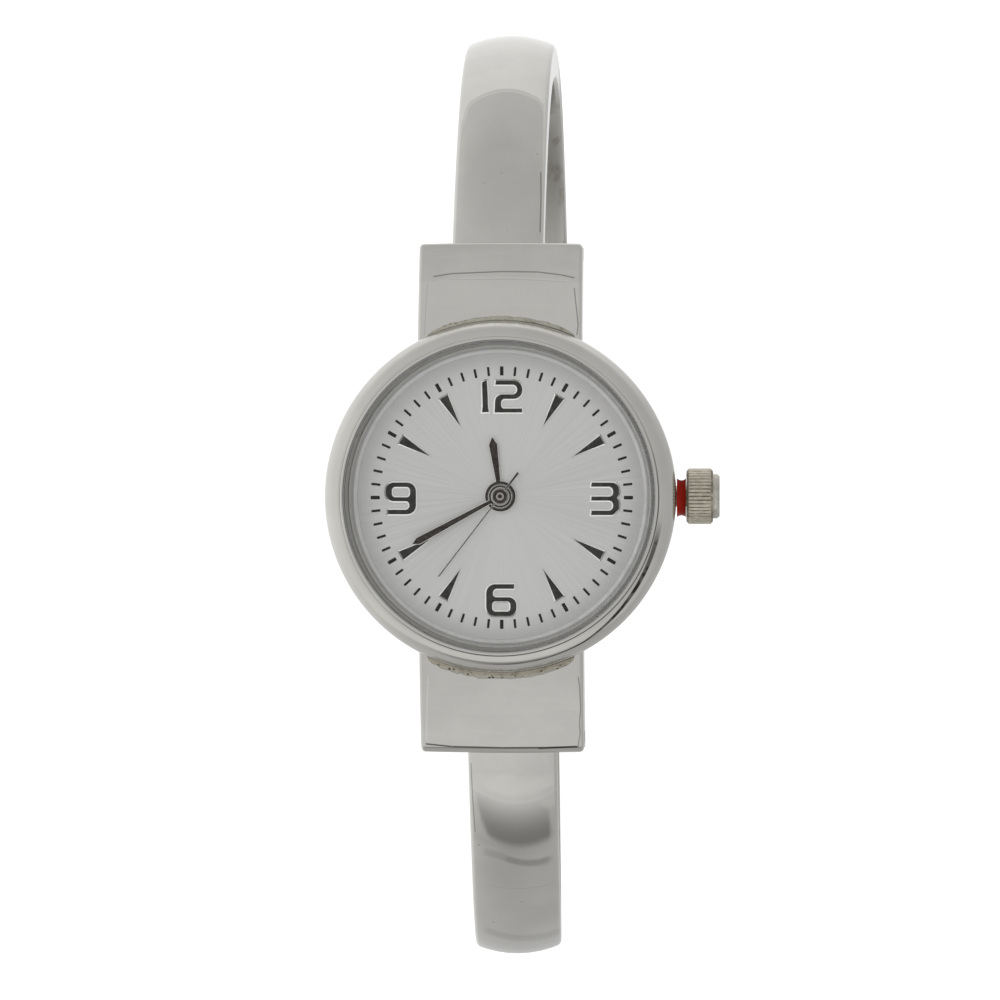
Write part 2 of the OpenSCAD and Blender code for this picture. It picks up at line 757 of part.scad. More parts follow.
module digit_two() {
    polygon(soft_outline([
        [-0.4, 1.13, 0], [1.47, 1.13, 0.6], [1.47, -0.16, 0.6], [-0.04, -0.16, 0.25],
        [-0.04, -0.85, 0.22], [1.45, -0.85, 0], [1.46, -1.13, 0], [-0.5, -1.13, 0],
        [-0.45, 0.15, 0.5], [1.11, 0.15, 0.33], [1.11, 0.85, 0.33], [-0.46, 0.85, 0]
    ]));
}

module digit_three() {
    polygon(soft_outline([
        [-0.94, 1.13, 0], [0.99, 1.13, 0.5], [0.99, 0.3, 0.3], [0.85, 0.06, 0], [0.99, -0.2, 0.3],
        [0.99, -0.74, 0.2], [0.54, -1.18, 0.2], [-0.99, -1.18, 0], [-0.96, -0.87, 0],
        [0.58, -0.87, 0.33], [0.58, -0.15, 0.3], [-0.99, -0.15, 0], [-0.96, 0.135, 0],
        [0.58, 0.135, 0.3], [0.58, 0.84, 0.33], [-0.99, 0.84, 0]
    ]));
}

// The six, and the nine as its half turn
module digit_six() {
    difference() {
        polygon(soft_outline([
            [-1.08, 1.13, 0.62], [0.92, 1.13, 0], [0.9, 0.81, 0], [-0.61, 0.81, 0.3],
            [-0.61, 0.2, 0.25], [1.07, 0.2, 0.55], [1.07, -1.13, 0.55], [-1.08, -1.13, 0.62]
        ]));
        polygon(soft_outline([
            [-0.66, -0.08, 0.25], [0.64, -0.08, 0.25], [0.64, -0.82, 0.25], [-0.66, -0.82, 0.25]
        ]));
    }
}

module applied(at) {
    color(dark_metal) translate([at.x + print_off.x, at.y + print_off.y, dial_top_z])
        linear_extrude(height = applied_t) children();
}

module numeral_12() {
    applied([0, numeral_r]) {
        digit_one();
        digit_two();
    }
}

module numeral_3() {
    applied([numeral_r + 0.17, -0.06]) digit_three();
}

module numeral_6() {
    applied([-0.02, -numeral_r - 0.11]) digit_six();
}

module numeral_9() {
    applied([-numeral_r, -0.06]) rotate(180) digit_six();
}

module hour_markers() {
    applied([0, 0]) for (hour = [1, 2, 4, 5, 7, 8, 10, 11]) rotate(-30 * hour) polygon([
        [-marker_w / 2, marker_r], [marker_w / 2, marker_r], [0, marker_r - marker_l]
    ]);
}

// Hands, drawn towards 12 o'clock and turned to the time shown

hour_hub_r = 1.12;
minute_hub_r = 0.84;
second_hub_r = 0.54;

module leaf_hand(l, root_w, wide_w, tip_l) {
    polygon([
        [-root_w / 2, 0], [-wide_w / 2, l - tip_l], [0, l], [wide_w / 2, l - tip_l], [root_w / 2, 0]
    ]);
}

module hour_hand() {
    color(dark_metal) rotate(-hour_hand_time / 2) translate([0, 0, hour_hub_z]) difference() {
        union() {
            linear_extrude(height = hand_t) leaf_hand(hour_hand_l, 0.26, 0.66, 0.62);
            cylinder(r = hour_hub_r, h = hand_t);
        }
        translate([0, 0, -1]) cylinder(r = hour_tube_r + press_gap, h = 2);
    }
}

module minute_hand() {
    color(dark_metal) rotate(-6 * minute_hand_time) translate([0, 0, minute_hub_z]) difference() {
        union() {
            linear_extrude(height = hand_t) leaf_hand(minute_hand_l, 0.28, 0.56, 0.55);
            cylinder(r = minute_hub_r, h = hand_t);
        }
        translate([0, 0, -1]) cylinder(r = cannon_r + press_gap, h = 2);
    }
}

module second_hand() {
    blade_w = 0.11;
    pipe_l = 0.16;
    color(dark_metal) rotate(-6 * second_hand_time) translate([0, 0, second_hub_z]) difference() {
        union() {
            translate([-blade_w / 2, 0, 0]) cube([blade_w, second_hand_l, 0.1]);
            linear_extrude(height = 0.1) polygon([
                [-0.06, 0], [0.06, 0], [0.1, -second_tail_l], [-0.1, -second_tail_l]
            ]);
            cylinder(r = second_hub_r, h = 0.14);
            translate([0, 0, -pipe_l]) cylinder(r = 0.3, h = pipe_l + eps, $fn = 32);
        }
        translate([0, 0, -1]) cylinder(r = arbor_r + press_gap, h = 2, $fn = 32);
    }
}

// Crown and setting work

module crown() {
    flute_depth = 0.11;
    chamfer = 0.3;
    pitch = 360 / flutes;
    outline = [for (i = [0:flutes - 1]) each [
        (crown_r - flute_depth) * [cos(pitch * i), sin(pitch * i)],
        crown_r * [cos(pitch * (i + 0.3)), sin(pitch * (i + 0.3))],
        crown_r * [cos(pitch * (i + 0.7)), sin(pitch * (i + 0.7))]
    ]];
    color([0.66, 0.63, 0.57]) difference() {
        union() {
            translate([crown_x, 0, stem_z]) rotate([0, 90, 0]) intersection() {
                linear_extrude(height = crown_l) polygon(outline);
                union() {
                    cylinder(r1 = crown_r - chamfer, r2 = crown_r + eps, h = chamfer);
                    translate([0, 0, chamfer]) cylinder(r = crown_r + eps, h = crown_l);
                }
            }
            along_x(crown_x + crown_l - eps, crown_r - 0.4, crown_cap_l * 0.6);
            translate([crown_x + crown_l + crown_cap_l * 0.6 - eps, 0, stem_z]) rotate([0, 90, 0])
                cylinder(r1 = crown_r - 0.4, r2 = crown_r - 0.55, h = crown_cap_l * 0.4);
            along_x(case_r - 0.5, post_r, crown_gap + 0.6);
        }
        along_x(case_r - 1, stem_r + press_gap, 1.6);
        // groove for the gasket
        difference() {
            along_x(gasket_x - gasket_wire_r, post_r + 1, 2 * gasket_wire_r);
            along_x(gasket_x - 1, post_r - 0.14, 2);
        }
    }
}

module crown_gasket() {
    color([0.1, 0.1, 0.1]) translate([gasket_x, 0, stem_z]) rotate([0, 90, 0]) rotate_extrude()
        translate([post_r - 0.14 + gasket_wire_r, 0]) circle(r = gasket_wire_r - 0.005, $fn = 24);
}

module stem() {
    square_x = clutch_x - 0.3;
    color([0.55, 0.55, 0.55]) difference() {
        union() {
            along_x(6.3, stem_r, case_r + 0.5 - 6.3);
            translate([square_x, -square_side / 2, stem_z - square_side / 2])
                cube([6.3 - square_x + eps, square_side, square_side]);
            along_x(square_x - 0.6, 0.25, 0.6 + eps);
        }
        // groove for the setting lever's pin
        difference() {
            along_x(stem_groove_x - 0.25, stem_r + 1, 0.5);
            along_x(stem_groove_x - 1, 0.25, 2);
        }
    }
}

// A waisted collar with a slot towards 12 o'clock, pulled off towards 6 o'clock
module spacer_clip() {
    slot_r = post_r + run_gap;
    waist = 0.12;
    waist_r = (waist ^ 2 + (clip_t / 2) ^ 2) / (2 * waist);
    color([0.8, 0.12, 0.02]) translate([clip_x, 0, stem_z]) difference() {
        rotate([0, 90, 0]) rotate_extrude() difference() {
            square([clip_d / 2, clip_t]);
            translate([clip_d / 2 - waist + waist_r, clip_t / 2]) circle(r = waist_r);
        }
        translate([-eps, 0, 0]) rotate([0, 90, 0]) cylinder(r = slot_r, h = clip_t + 2 * eps);
        translate([-eps, 0, -slot_r]) cube([clip_t + 2 * eps, clip_d, 2 * slot_r]);
    }
}

// The face teeth stand round the clutch's inner end, where the setting wheel runs in them
module clutch_wheel() {
    tooth_w = motion_module * 1.15;
    tooth_h = 0.23;
    body_x = clutch_x + 0.16;
    color(brass) difference() {
        union() {
            along_x(body_x, clutch_r + tooth_h / 2, 0.9);
            for (i = [0:clutch_n - 1]) translate([0, 0, stem_z])
                rotate([clutch_a + 360 * i / clutch_n, 0, 0])
                translate([clutch_x - motion_module, -tooth_w / 2, clutch_r - tooth_h / 2])
                cube([body_x - clutch_x + motion_module + eps, tooth_w, tooth_h]);
        }
        translate([body_x - 1, -square_side / 2 - run_gap, stem_z - square_side / 2 - run_gap])
            cube([3, square_side + 2 * run_gap, square_side + 2 * run_gap]);
    }
}

module setting_wheel() {
    color(brass) translate([setting_at.x, setting_at.y, motion_z])
        rotate(setting_wheel_a) toothed(setting_n, motion_module, wheel_t, 0.2 + run_gap);
}

// The lever's pin stands in the stem's groove and follows the stem in and out
module setting_lever() {
    lever_w = 0.7;
    color([0.6, 0.6, 0.58]) translate([lever_at.x, lever_at.y, lever_z]) difference() {
        union() {
            cylinder(r = 0.6, h = 0.3, $fn = 48);
            translate([-lever_w / 2, -lever_at.y, 0]) cube([lever_w + 0.1, lever_at.y, 0.3]);
            translate([stem_groove_x - lever_at.x, -lever_at.y, 0]) cylinder(r = 0.35, h = 0.3, $fn = 32);
            translate([stem_groove_x - lever_at.x, -lever_at.y, 0])
                cylinder(r = 0.18, h = stem_z - 0.32 - lever_z, $fn = 32);
        }
        translate([0, 0, -eps]) cylinder(r = 0.25 + run_gap, h = 1, $fn = 32);
    }
}

module cannon_pinion() {
    color(brass) difference() {
        union() {
            translate([0, 0, centre_wheel_z - 0.14]) cylinder(r = 0.56, h = 0.12, $fn = 48);
            translate([0, 0, centre_wheel_z - 0.14])
                cylinder(r = cannon_r, h = minute_hub_z + hand_t - centre_wheel_z + 0.14, $fn = 48);
            translate([0, 0, motion_z]) toothed(cannon_n, motion_module, wheel_t + 0.05);
        }
        translate([0, 0, 1]) cylinder(r = arbor_r + run_gap, h = 6, $fn = 48);
    }
}

module minute_wheel() {
    color(brass) translate([minute_at.x, minute_at.y, motion_z]) difference() {
        union() {
            rotate(minute_wheel_a) crossed_wheel(minute_n, motion_module, wheel_t);
            translate([0, 0, wheel_t - eps]) toothed(minute_pinion_n, hour_module, 0.27);
        }
        translate([0, 0, -eps]) cylinder(r = 0.2 + run_gap, h = 1, $fn = 48);
    }
}

module hour_wheel() {
    color(brass) difference() {
        union() {
            translate([0, 0, hour_wheel_z]) rotate(hour_wheel_a) toothed(hour_n, hour_module, wheel_t);
            translate([0, 0, hour_wheel_z])
                cylinder(r = hour_tube_r, h = hour_hub_z + hand_t - hour_wheel_z);
        }
        translate([0, 0, 3]) cylinder(r = cannon_r + run_gap, h = 3, $fn = 48);
    }
}

// Going train

module arbor(at, low, high) {
    translate([at.x, at.y, low]) cylinder(r = pivot_r, h = high - low, $fn = 32);
}

module second_wheel() {
    color(brass) {
        translate([0, 0, second_wheel_z]) crossed_wheel(second_n, train_module, wheel_t);
        translate([0, 0, second_wheel_z + wheel_t - eps])
            toothed(second_pinion_n, train_module, 0.38);
        translate([0, 0, bridge_z + part_gap])
            cylinder(r = arbor_r, h = second_hub_z + 0.1 - bridge_z - part_gap, $fn = 32);
    }
}

module third_wheel() {
    color(brass) {
        translate([third_at.x, third_at.y, third_wheel_z])
            rotate(third_wheel_a) crossed_wheel(third_n, train_module, wheel_t);
        translate([third_at.x, third_at.y, third_wheel_z + wheel_t - eps])
            toothed(third_pinion_n, centre_module, 0.65);
        arbor(third_at, bridge_z + part_gap, plate_low_z + 0.3);
    }
}

module centre_wheel() {
    color(brass) translate([0, 0, centre_wheel_z]) rotate(centre_wheel_a)
        crossed_wheel(centre_n, centre_module, wheel_t, cannon_r + press_gap);
}

module fifth_wheel() {
    color([0.92, 0.9, 0.84]) {
        translate([fifth_at.x, fifth_at.y, fifth_wheel_z])
            crossed_wheel(fifth_n, train_module, wheel_t);
        translate([fifth_at.x, fifth_at.y, second_wheel_z - part_gap])
            rotate(fifth_pinion_a)
            toothed(fifth_pinion_n, train_module, fifth_wheel_z - second_wheel_z + part_gap + eps);
        arbor(fifth_at, bridge_z + part_gap, plate_low_z + 0.3);
    }
}

module rotor() {
    color([0.3, 0.3, 0.32]) {
        translate([rotor_at.x, rotor_at.y, stator_z]) cylinder(r = rotor_r, h = 0.45, $fn = 48);
        translate([rotor_at.x, rotor_at.y, stator_z + 0.45 - eps])
            rotate(rotor_pinion_a) toothed(rotor_n, train_module, 0.55);
        arbor(rotor_at, bridge_z + part_gap, plate_low_z + 0.3);
    }
}

// Movement frame

module pillar(at, low) {
    translate([at.x, at.y, low]) cylinder(r = post_out_r, h = plate_low_z - low + eps, $fn = 48);
}

module main_plate() {
    bearing = [stem_groove_x + 0.5, plate_r - 0.3];
    color([0.7, 0.68, 0.6]) difference() {
        union() {
            translate([0, 0, plate_low_z]) cylinder(r = plate_r, h = plate_top_z - plate_low_z);
            for (at = bridge_posts) pillar(at, bridge_z + bridge_t);
            pillar(clamp_post, battery_z - 0.04);
            // bearing block for the stem, and the lever's pivot post
            translate([bearing[0], -0.9, 1.7])
                cube([bearing[1] - bearing[0], 1.8, plate_low_z - 1.7 + eps]);
            translate([lever_at.x, lever_at.y, lever_z - 0.1])
                cylinder(r = 0.25, h = plate_low_z - lever_z + 0.1 + eps, $fn = 32);
        }
        // recess for the wheels under the dial
        translate([0, 0, recess_z]) cylinder(r = 2.7, h = 2);
        translate([minute_at.x, minute_at.y, recess_z]) cylinder(r = 2.3, h = 2);
        translate([setting_at.x, setting_at.y, recess_z]) cylinder(r = 1.5, h = 2);
        // room for the clutch, the stem, the battery and the coil
        translate([clutch_x - 0.4, -1.5, plate_low_z - 1]) cube([2, 3, 3]);
        along_x(2.8, stem_r + 0.1, bearing[0] - 2.8);
        along_x(bearing[0] - 1, stem_r + run_gap, 6);
        translate([battery_at.x, battery_at.y, battery_z])
            cylinder(r = battery_r + 0.08, h = battery_h + 0.06);
        translate([coil_x[0] - 0.2, coil_y - coil_r - 0.1, plate_low_z - 1])
            cube([coil_x[1] - coil_x[0] + 0.4, 2 * coil_r + 0.2, coil_z + coil_r + 1.05 - plate_low_z]);
        // pivots, screws and dial feet
        translate([0, 0, 2]) cylinder(r = cannon_r + 0.15, h = 3, $fn = 48);
        for (at = [third_at, fifth_at, rotor_at]) translate([at.x, at.y, plate_low_z - eps])
            cylinder(r = pivot_r + run_gap, h = 0.4, $fn = 32);
        for (at = concat(bridge_posts, [clamp_post])) translate([at.x, at.y, battery_z - 1])
            cylinder(r = screw_r + press_gap, h = plate_low_z + 0.4 - battery_z + 1, $fn = 32);
        for (at = dial_feet) translate([at.x, at.y, 0])
            cylinder(r = foot_r + press_gap, h = 6, $fn = 32);
    }
    // studs of the minute and setting wheels
    for (at = [minute_at, setting_at]) color([0.6, 0.6, 0.6]) translate([at.x, at.y, recess_z - 0.2])
        cylinder(r = 0.2, h = wheel_t + 0.32, $fn = 32);
}

module train_bridge() {
    color([0.75, 0.75, 0.74]) difference() {
        translate([0, 0, bridge_z]) linear_extrude(height = bridge_t) {
            polygon([bridge_posts[0], [-3.4, -0.4], bridge_posts[2], [3.4, 0.4], bridge_posts[1],
                [2.6, 5.2], [1, 5.2], [-1.5, 2.9]]);
            for (at = bridge_posts) translate(at) circle(r = 0.65, $fn = 48);
            for (at = [third_at, rotor_at]) translate(at) circle(r = 0.75, $fn = 48);
        }
        for (at = [third_at, fifth_at, rotor_at]) translate([at.x, at.y, bridge_z - eps])
            cylinder(r = pivot_r + run_gap, h = 1, $fn = 32);
        translate([0, 0, bridge_z - eps]) cylinder(r = arbor_r + run_gap, h = 1, $fn = 32);
        for (at = bridge_posts) translate([at.x, at.y, bridge_z - eps])
            cylinder(r = screw_r + press_gap, h = 1, $fn = 32);
    }
}

// The plastic ring that centres the movement in the case
module movement_ring() {
    color([0.92, 0.92, 0.9]) difference() {
        union() {
            translate([0, 0, ring_low_z]) ring(back_lip_r, plate_r + part_gap, dial_z - ring_low_z);
            translate([0, 0, ring_foot_z]) ring(back_lip_r - 0.45, plate_r + part_gap, 1);
        }
        along_x(plate_r - 1, tube_bore_r, 5);
    }
}

module stator() {
    leg = coil_y + 0.3 - bar_y;
    color([0.5, 0.5, 0.52]) translate([0, 0, stator_z]) difference() {
        linear_extrude(height = stator_t) {
            translate([core_x - 0.2, bar_y]) square([core_l + 0.5, bar_w]);
            translate([core_x - 0.2, bar_y]) square([1.1, leg]);
            translate([core_x + core_l - 1.3, bar_y]) square([1.6, leg]);
            translate(rotor_at) circle(r = 1.3, $fn = 64);
        }
        translate([rotor_at.x, rotor_at.y, -1]) cylinder(r = rotor_r + 0.18, h = 3, $fn = 64);
    }
}

module coil_core() {
    color([0.5, 0.5, 0.52]) translate([core_x, coil_y - core_w / 2, stator_z + stator_t])
        cube([core_l, core_w, core_t]);
}

module coil_winding() {
    wall = 0.3;
    slot_w = core_w + 2 * press_gap;
    color([0.72, 0.36, 0.16]) difference() {
        union() {
            for (x = [coil_x[0], coil_x[1] - wall]) translate([x, coil_y, coil_z]) rotate([0, 90, 0])
                cylinder(r = coil_r, h = wall);
            translate([coil_x[0], coil_y, coil_z]) rotate([0, 90, 0])
                cylinder(r = coil_r - 0.12, h = coil_l);
        }
        translate([core_x, coil_y - slot_w / 2, stator_z + stator_t - press_gap])
            cube([core_l, slot_w, core_t + 2 * press_gap]);
    }
}

module circuit_board() {
    color([0.12, 0.35, 0.2]) translate([0, 0, board_z]) linear_extrude(height = board_t) difference() {
        intersection() {
            circle(r = plate_r - 0.2);
            translate([bridge_posts[2].x, -plate_r]) square([plate_r, plate_r * 0.8]);
        }
        circle(r = centre_module * (centre_n / 2 + 1) + 0.2);
        translate(bridge_posts[2]) circle(r = post_out_r + 0.2, $fn = 48);
        translate(battery_at) circle(r = battery_r + 0.2);
        translate(dial_feet[1]) circle(r = foot_r + 0.1, $fn = 32);
    }
}

module circuit_chip() {
    color([0.08, 0.08, 0.08]) translate([chip_at.x, chip_at.y, board_z - chip_t - press_gap])
        cube([1.6, 1.5, chip_t]);
}

module quartz_crystal() {
    color([0.8, 0.8, 0.8]) translate([quartz_at.x, quartz_at.y, board_z - quartz_r - press_gap])
        rotate([0, 0, 45]) rotate([0, 90, 0])
        cylinder(r = quartz_r, h = quartz_l, center = true, $fn = 48);
}

module battery() {
    rim = 0.35;
    color([0.78, 0.78, 0.76]) translate([battery_at.x, battery_at.y, battery_z]) {
        cylinder(r = battery_r, h = battery_h - rim);
        translate([0, 0, battery_h - rim]) cylinder(r = battery_r - rim, h = rim);
    }
}

module battery_clamp() {
    clamp_z = battery_z - 0.16;
    way = atan2(clamp_post.y - battery_at.y, clamp_post.x - battery_at.x);
    color([0.72, 0.68, 0.55]) translate([0, 0, clamp_z]) difference() {
        linear_extrude(height = 0.12) {
            translate(battery_at) circle(r = 1.5, $fn = 48);
            translate(clamp_post) circle(r = 0.65, $fn = 48);
            translate(battery_at) rotate(way) translate([0, -0.5])
                square([norm(clamp_post - battery_at), 1]);
        }
        translate([clamp_post.x, clamp_post.y, -eps])
            cylinder(r = screw_r + press_gap, h = 1, $fn = 32);
    }
}

module screw(at, under_head) {
    translate([at.x, at.y, under_head]) difference() {
        union() {
            translate([0, 0, -0.16]) cylinder(r = 0.48, h = 0.16, $fn = 48);
            translate([0, 0, -0.08])
                cylinder(r = screw_r, h = plate_low_z + 0.38 - under_head, $fn = 32);
        }
        translate([-0.5, -0.06, -0.16 - eps]) cube([1, 0.12, 0.08]);
    }
}

module movement_screws() {
    color([0.6, 0.62, 0.68]) {
        for (at = bridge_posts) screw(at, bridge_z);
        screw(clamp_post, battery_z - 0.16);
    }
}

case_body();
crystal_ring();
crystal_gasket();
crystal();
dial_surround();
case_back();
back_gasket();
crown_tube();
upper_lug_block();
lower_lug_block();
upper_solder();
lower_solder();
upper_hinge_pin();
lower_hinge_pin();
upper_hinge_spring();
lower_hinge_spring();
upper_arm();
lower_arm();
dial();
minute_track();
numeral_12();
numeral_3();
numeral_6();
numeral_9();
hour_markers();
hour_hand();
minute_hand();
second_hand();
crown();
crown_gasket();
stem();
spacer_clip();
clutch_wheel();
setting_lever();
setting_wheel();
cannon_pinion();
minute_wheel();
hour_wheel();
second_wheel();
third_wheel();
centre_wheel();
fifth_wheel();
rotor();
main_plate();
train_bridge();
movement_ring();
stator();
coil_core();
coil_winding();
circuit_board();
circuit_chip();
quartz_crystal();
battery();
battery_clamp();
movement_screws();
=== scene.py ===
import json
import math

import bmesh
import bpy
from mathutils import Matrix, Vector, noise


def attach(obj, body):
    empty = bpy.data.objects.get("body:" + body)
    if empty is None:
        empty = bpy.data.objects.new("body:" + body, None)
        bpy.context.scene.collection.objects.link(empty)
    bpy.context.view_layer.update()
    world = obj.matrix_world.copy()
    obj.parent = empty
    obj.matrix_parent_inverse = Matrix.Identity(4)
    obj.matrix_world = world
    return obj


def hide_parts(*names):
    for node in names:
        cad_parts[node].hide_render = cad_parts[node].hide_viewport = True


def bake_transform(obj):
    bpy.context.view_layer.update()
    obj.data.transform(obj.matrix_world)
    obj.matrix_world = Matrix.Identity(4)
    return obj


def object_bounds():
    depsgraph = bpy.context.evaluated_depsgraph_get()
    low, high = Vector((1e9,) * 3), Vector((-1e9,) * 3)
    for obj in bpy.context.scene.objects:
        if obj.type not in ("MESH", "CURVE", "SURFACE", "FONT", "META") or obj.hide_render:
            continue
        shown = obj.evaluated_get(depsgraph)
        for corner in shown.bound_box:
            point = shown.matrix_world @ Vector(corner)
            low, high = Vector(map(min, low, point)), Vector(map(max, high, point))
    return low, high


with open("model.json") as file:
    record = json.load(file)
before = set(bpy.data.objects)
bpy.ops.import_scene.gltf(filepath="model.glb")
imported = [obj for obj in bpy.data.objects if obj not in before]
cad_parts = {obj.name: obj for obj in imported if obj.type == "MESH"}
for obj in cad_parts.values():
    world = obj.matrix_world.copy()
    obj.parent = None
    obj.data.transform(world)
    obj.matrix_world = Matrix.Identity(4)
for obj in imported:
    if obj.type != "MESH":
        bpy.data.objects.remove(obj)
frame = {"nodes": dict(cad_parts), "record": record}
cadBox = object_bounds()
scene = bpy.context.scene
mm = 0.001
print("frame loaded with", len(frame["nodes"]), "solids")


# sums written with sockets, the same in a material and in a geometry tree
class Wire:
    def __init__(self, maker, socket):
        self.maker = maker
        self.socket = socket

    def maths(self, operation, *others):
        return self.maker.maths(operation, self, *others)

    def __neg__(self):
        return self * -1.0

    # 0 below low and 1 above high, with a soft step between
    def step(self, low, high):
        settings = {"interpolation_type": "SMOOTHSTEP", "clamp": True}
        return self.maker.add("ShaderNodeMapRange", settings, [self, low, high, 0.0, 1.0])

    # 1 at the middle of a soft band and 0 outside it
    def band(self, middle, half):
        return 1.0 - (self - middle).maths("ABSOLUTE").step(0.0, half)

    def part(self, name):
        return Wire(self.maker, self.socket.node.outputs[name])


def wireWork(operation, swapped=False):
    def work(wire, *others):
        return wire.maker.maths(operation, *((*others, wire) if swapped else (wire, *others)))
    return work


wireWorks = {"__add__": "ADD", "__radd__": "ADD", "__mul__": "MULTIPLY", "__rmul__": "MULTIPLY",
             "__sub__": "SUBTRACT", "__truediv__": "DIVIDE", "least": "MINIMUM", "most": "MAXIMUM",
             "above": "GREATER_THAN", "cos": "COSINE", "sin": "SINE"}
for method, operation in wireWorks.items():
    setattr(Wire, method, wireWork(operation))
for method, operation in {"__rsub__": "SUBTRACT", "__rtruediv__": "DIVIDE"}.items():
    setattr(Wire, method, wireWork(operation, True))


class NodeMaker:
    def __init__(self, tree):
        self.tree = tree

    def add(self, kind, settings=(), inputs=(), output=0):
        node = self.tree.nodes.new(kind)
        for name, value in dict(settings).items():
            if name == "stops":
                node.color_ramp.elements.remove(node.color_ramp.elements[1])
                node.color_ramp.elements[0].position, node.color_ramp.elements[0].color = value[0]
                for place, colour in value[1:]:
                    node.color_ramp.elements.new(place).color = colour
            else:
                setattr(node, name, value)
        for name, value in inputs.items() if isinstance(inputs, dict) else enumerate(inputs):
            if isinstance(value, Wire):
                self.tree.links.new(value.socket, node.inputs[name])
            elif value is not None:
                node.inputs[name].default_value = value
        return Wire(self, node.outputs[output] if len(node.outputs) else None)

    def maths(self, operation, *inputs):
        return self.add("ShaderNodeMath", {"operation": operation}, inputs)

    def vector(self, operation, *inputs, output=0):
        return self.add("ShaderNodeVectorMath", {"operation": operation}, inputs, output)

    def joined(self, x, y, z):
        return self.add("ShaderNodeCombineXYZ", {}, [x, y, z])

    def split(self, vector):
        parts = self.add("ShaderNodeSeparateXYZ", {}, [vector])
        return [parts.part(axis) for axis in "XYZ"]


class Finish(NodeMaker):
    # a material on object coordinates, in millimetres
    def __init__(self, name):
        self.material = bpy.data.materials.new(name)
        self.material.use_nodes = True
        super().__init__(self.material.node_tree)
        self.tree.nodes.clear()
        self.metres = self.add("ShaderNodeTexCoord", {}, {}, "Object")
        self.place = self.add("ShaderNodeVectorMath", {"operation": "SCALE"},
                              {0: self.metres, "Scale": 1000.0})
        self.x, self.y, self.z = self.split(self.place)

    def grain(self, size, detail=2.0, rough=0.5, stretch=(1, 1, 1), place=None):
        at = self.vector("MULTIPLY", place or self.place, tuple(s / size for s in stretch))
        values = {"Vector": at, "Scale": 1.0, "Detail": detail, "Roughness": rough}
        return self.add("ShaderNodeTexNoise", {}, values)

    def cells(self, size):
        at = self.vector("MULTIPLY", self.place, (1 / size,) * 3)
        return self.add("ShaderNodeTexVoronoi", {}, {"Vector": at, "Scale": 1.0})

    def fromAxis(self):
        # the distance from the dial's own axis
        return self.vector("LENGTH", self.joined(self.x, self.y, 0.0), output=1)

    def mix(self, share, first, second):
        # the sockets 0, 6, 7 and 2 are the ones for colours
        return self.add("ShaderNodeMix", {"data_type": "RGBA"}, {0: share, 6: first, 7: second}, 2)

    def bump(self, height, depth):
        return self.add("ShaderNodeBump", {}, {"Strength": 1.0, "Distance": depth * mm, "Height": height})

    def surface(self, colour, rough, normal=None, metallic=0.0, more=()):
        sockets = {"Base Color": colour, "Roughness": rough, "Normal": normal, "Metallic": metallic}
        shader = self.add("ShaderNodeBsdfPrincipled", {}, {**sockets, **dict(more)})
        self.add("ShaderNodeOutputMaterial", {}, {"Surface": shader})
        return self.material


def grey(level):
    return (level, level, level, 1.0)


def shade(colour, factor):
    return (colour[0] * factor, colour[1] * factor, colour[2] * factor, 1.0)


# pieces: points and sizes in millimetres, meshes in metres

def putMesh(name, points, faces, scale=mm):
    mesh = bpy.data.meshes.new(name)
    mesh.from_pydata([[scale * length for length in point] for point in points], [], faces)
    piece = bpy.data.objects.new(name, mesh)
    scene.collection.objects.link(piece)
    return facesOut(piece)


def editMesh(piece, change):
    form = bmesh.new()
    form.from_mesh(piece.data)
    change(form)
    form.to_mesh(piece.data)
    form.free()
    piece.data.update()


def facesOut(piece):
    editMesh(piece, lambda form: bmesh.ops.recalc_face_normals(form, faces=form.faces))
    return piece


def rounded(corners, radii, steps=5):
    # a closed outline with its corners turned into arcs
    outline = []
    count = len(corners)
    for i, corner in enumerate(corners):
        radius = radii[i] if isinstance(radii, (list, tuple)) else radii
        here = Vector(corner)
        back, ahead = Vector(corners[i - 1]) - here, Vector(corners[(i + 1) % count]) - here
        # a corner that is straight or has no radius stays as it is
        plainCorner = radius <= 0 or back.length < 1e-6 or ahead.length < 1e-6
        half = 0.0 if plainCorner else back.angle(ahead) / 2
        if plainCorner or half > 1.5:
            outline.append(tuple(here))
            continue
        cut = min(radius / math.tan(half), 0.48 * back.length, 0.48 * ahead.length)
        radius = cut * math.tan(half)
        back.normalize()
        ahead.normalize()
        centre = here + (back + ahead).normalized() * radius / math.sin(half)
        start, end = here + back * cut - centre, here + ahead * cut - centre
        turn = start.angle_signed(end)
        for s in range(steps + 1):
            outline.append(tuple(centre + Matrix.Rotation(-turn * s / steps, 2) @ start))
    return outline


def lathe(name, outline, steps=256, along="z", centre=(0, 0, 0)):
    # a closed outline of (radius, height) turned about an axis
    points, rings = [], []
    for radius, height in outline:
        ring = []
        for s in range(steps if radius > 1e-6 else 1):
            turn = 2 * math.pi * s / steps
            across, up = radius * math.cos(turn), radius * math.sin(turn)
            at = (across, up, height) if along == "z" else (height, across, up)
            ring.append(len(points))
            points.append([a + b for a, b in zip(at, centre)])
        rings.append(ring)
    faces = []
    for one, two in zip(rings, rings[1:] + rings[:1]):
        if len(one) == len(two) == 1:
            continue
        for s in range(steps):
            t = (s + 1) % steps
            corners = [one[s % len(one)], one[t % len(one)], two[t % len(two)], two[s % len(two)]]
            faces.append(list(dict.fromkeys(corners)))
    return putMesh(name, points, faces)


def rod(radius, start, end):
    # the outline of a plain round rod, for the lathe
    return [(0, start), (radius, start), (radius, end), (0, end)]


def sleeve(inner, outer, start, end):
    return [(inner, start), (outer, start), (outer, end), (inner, end)]


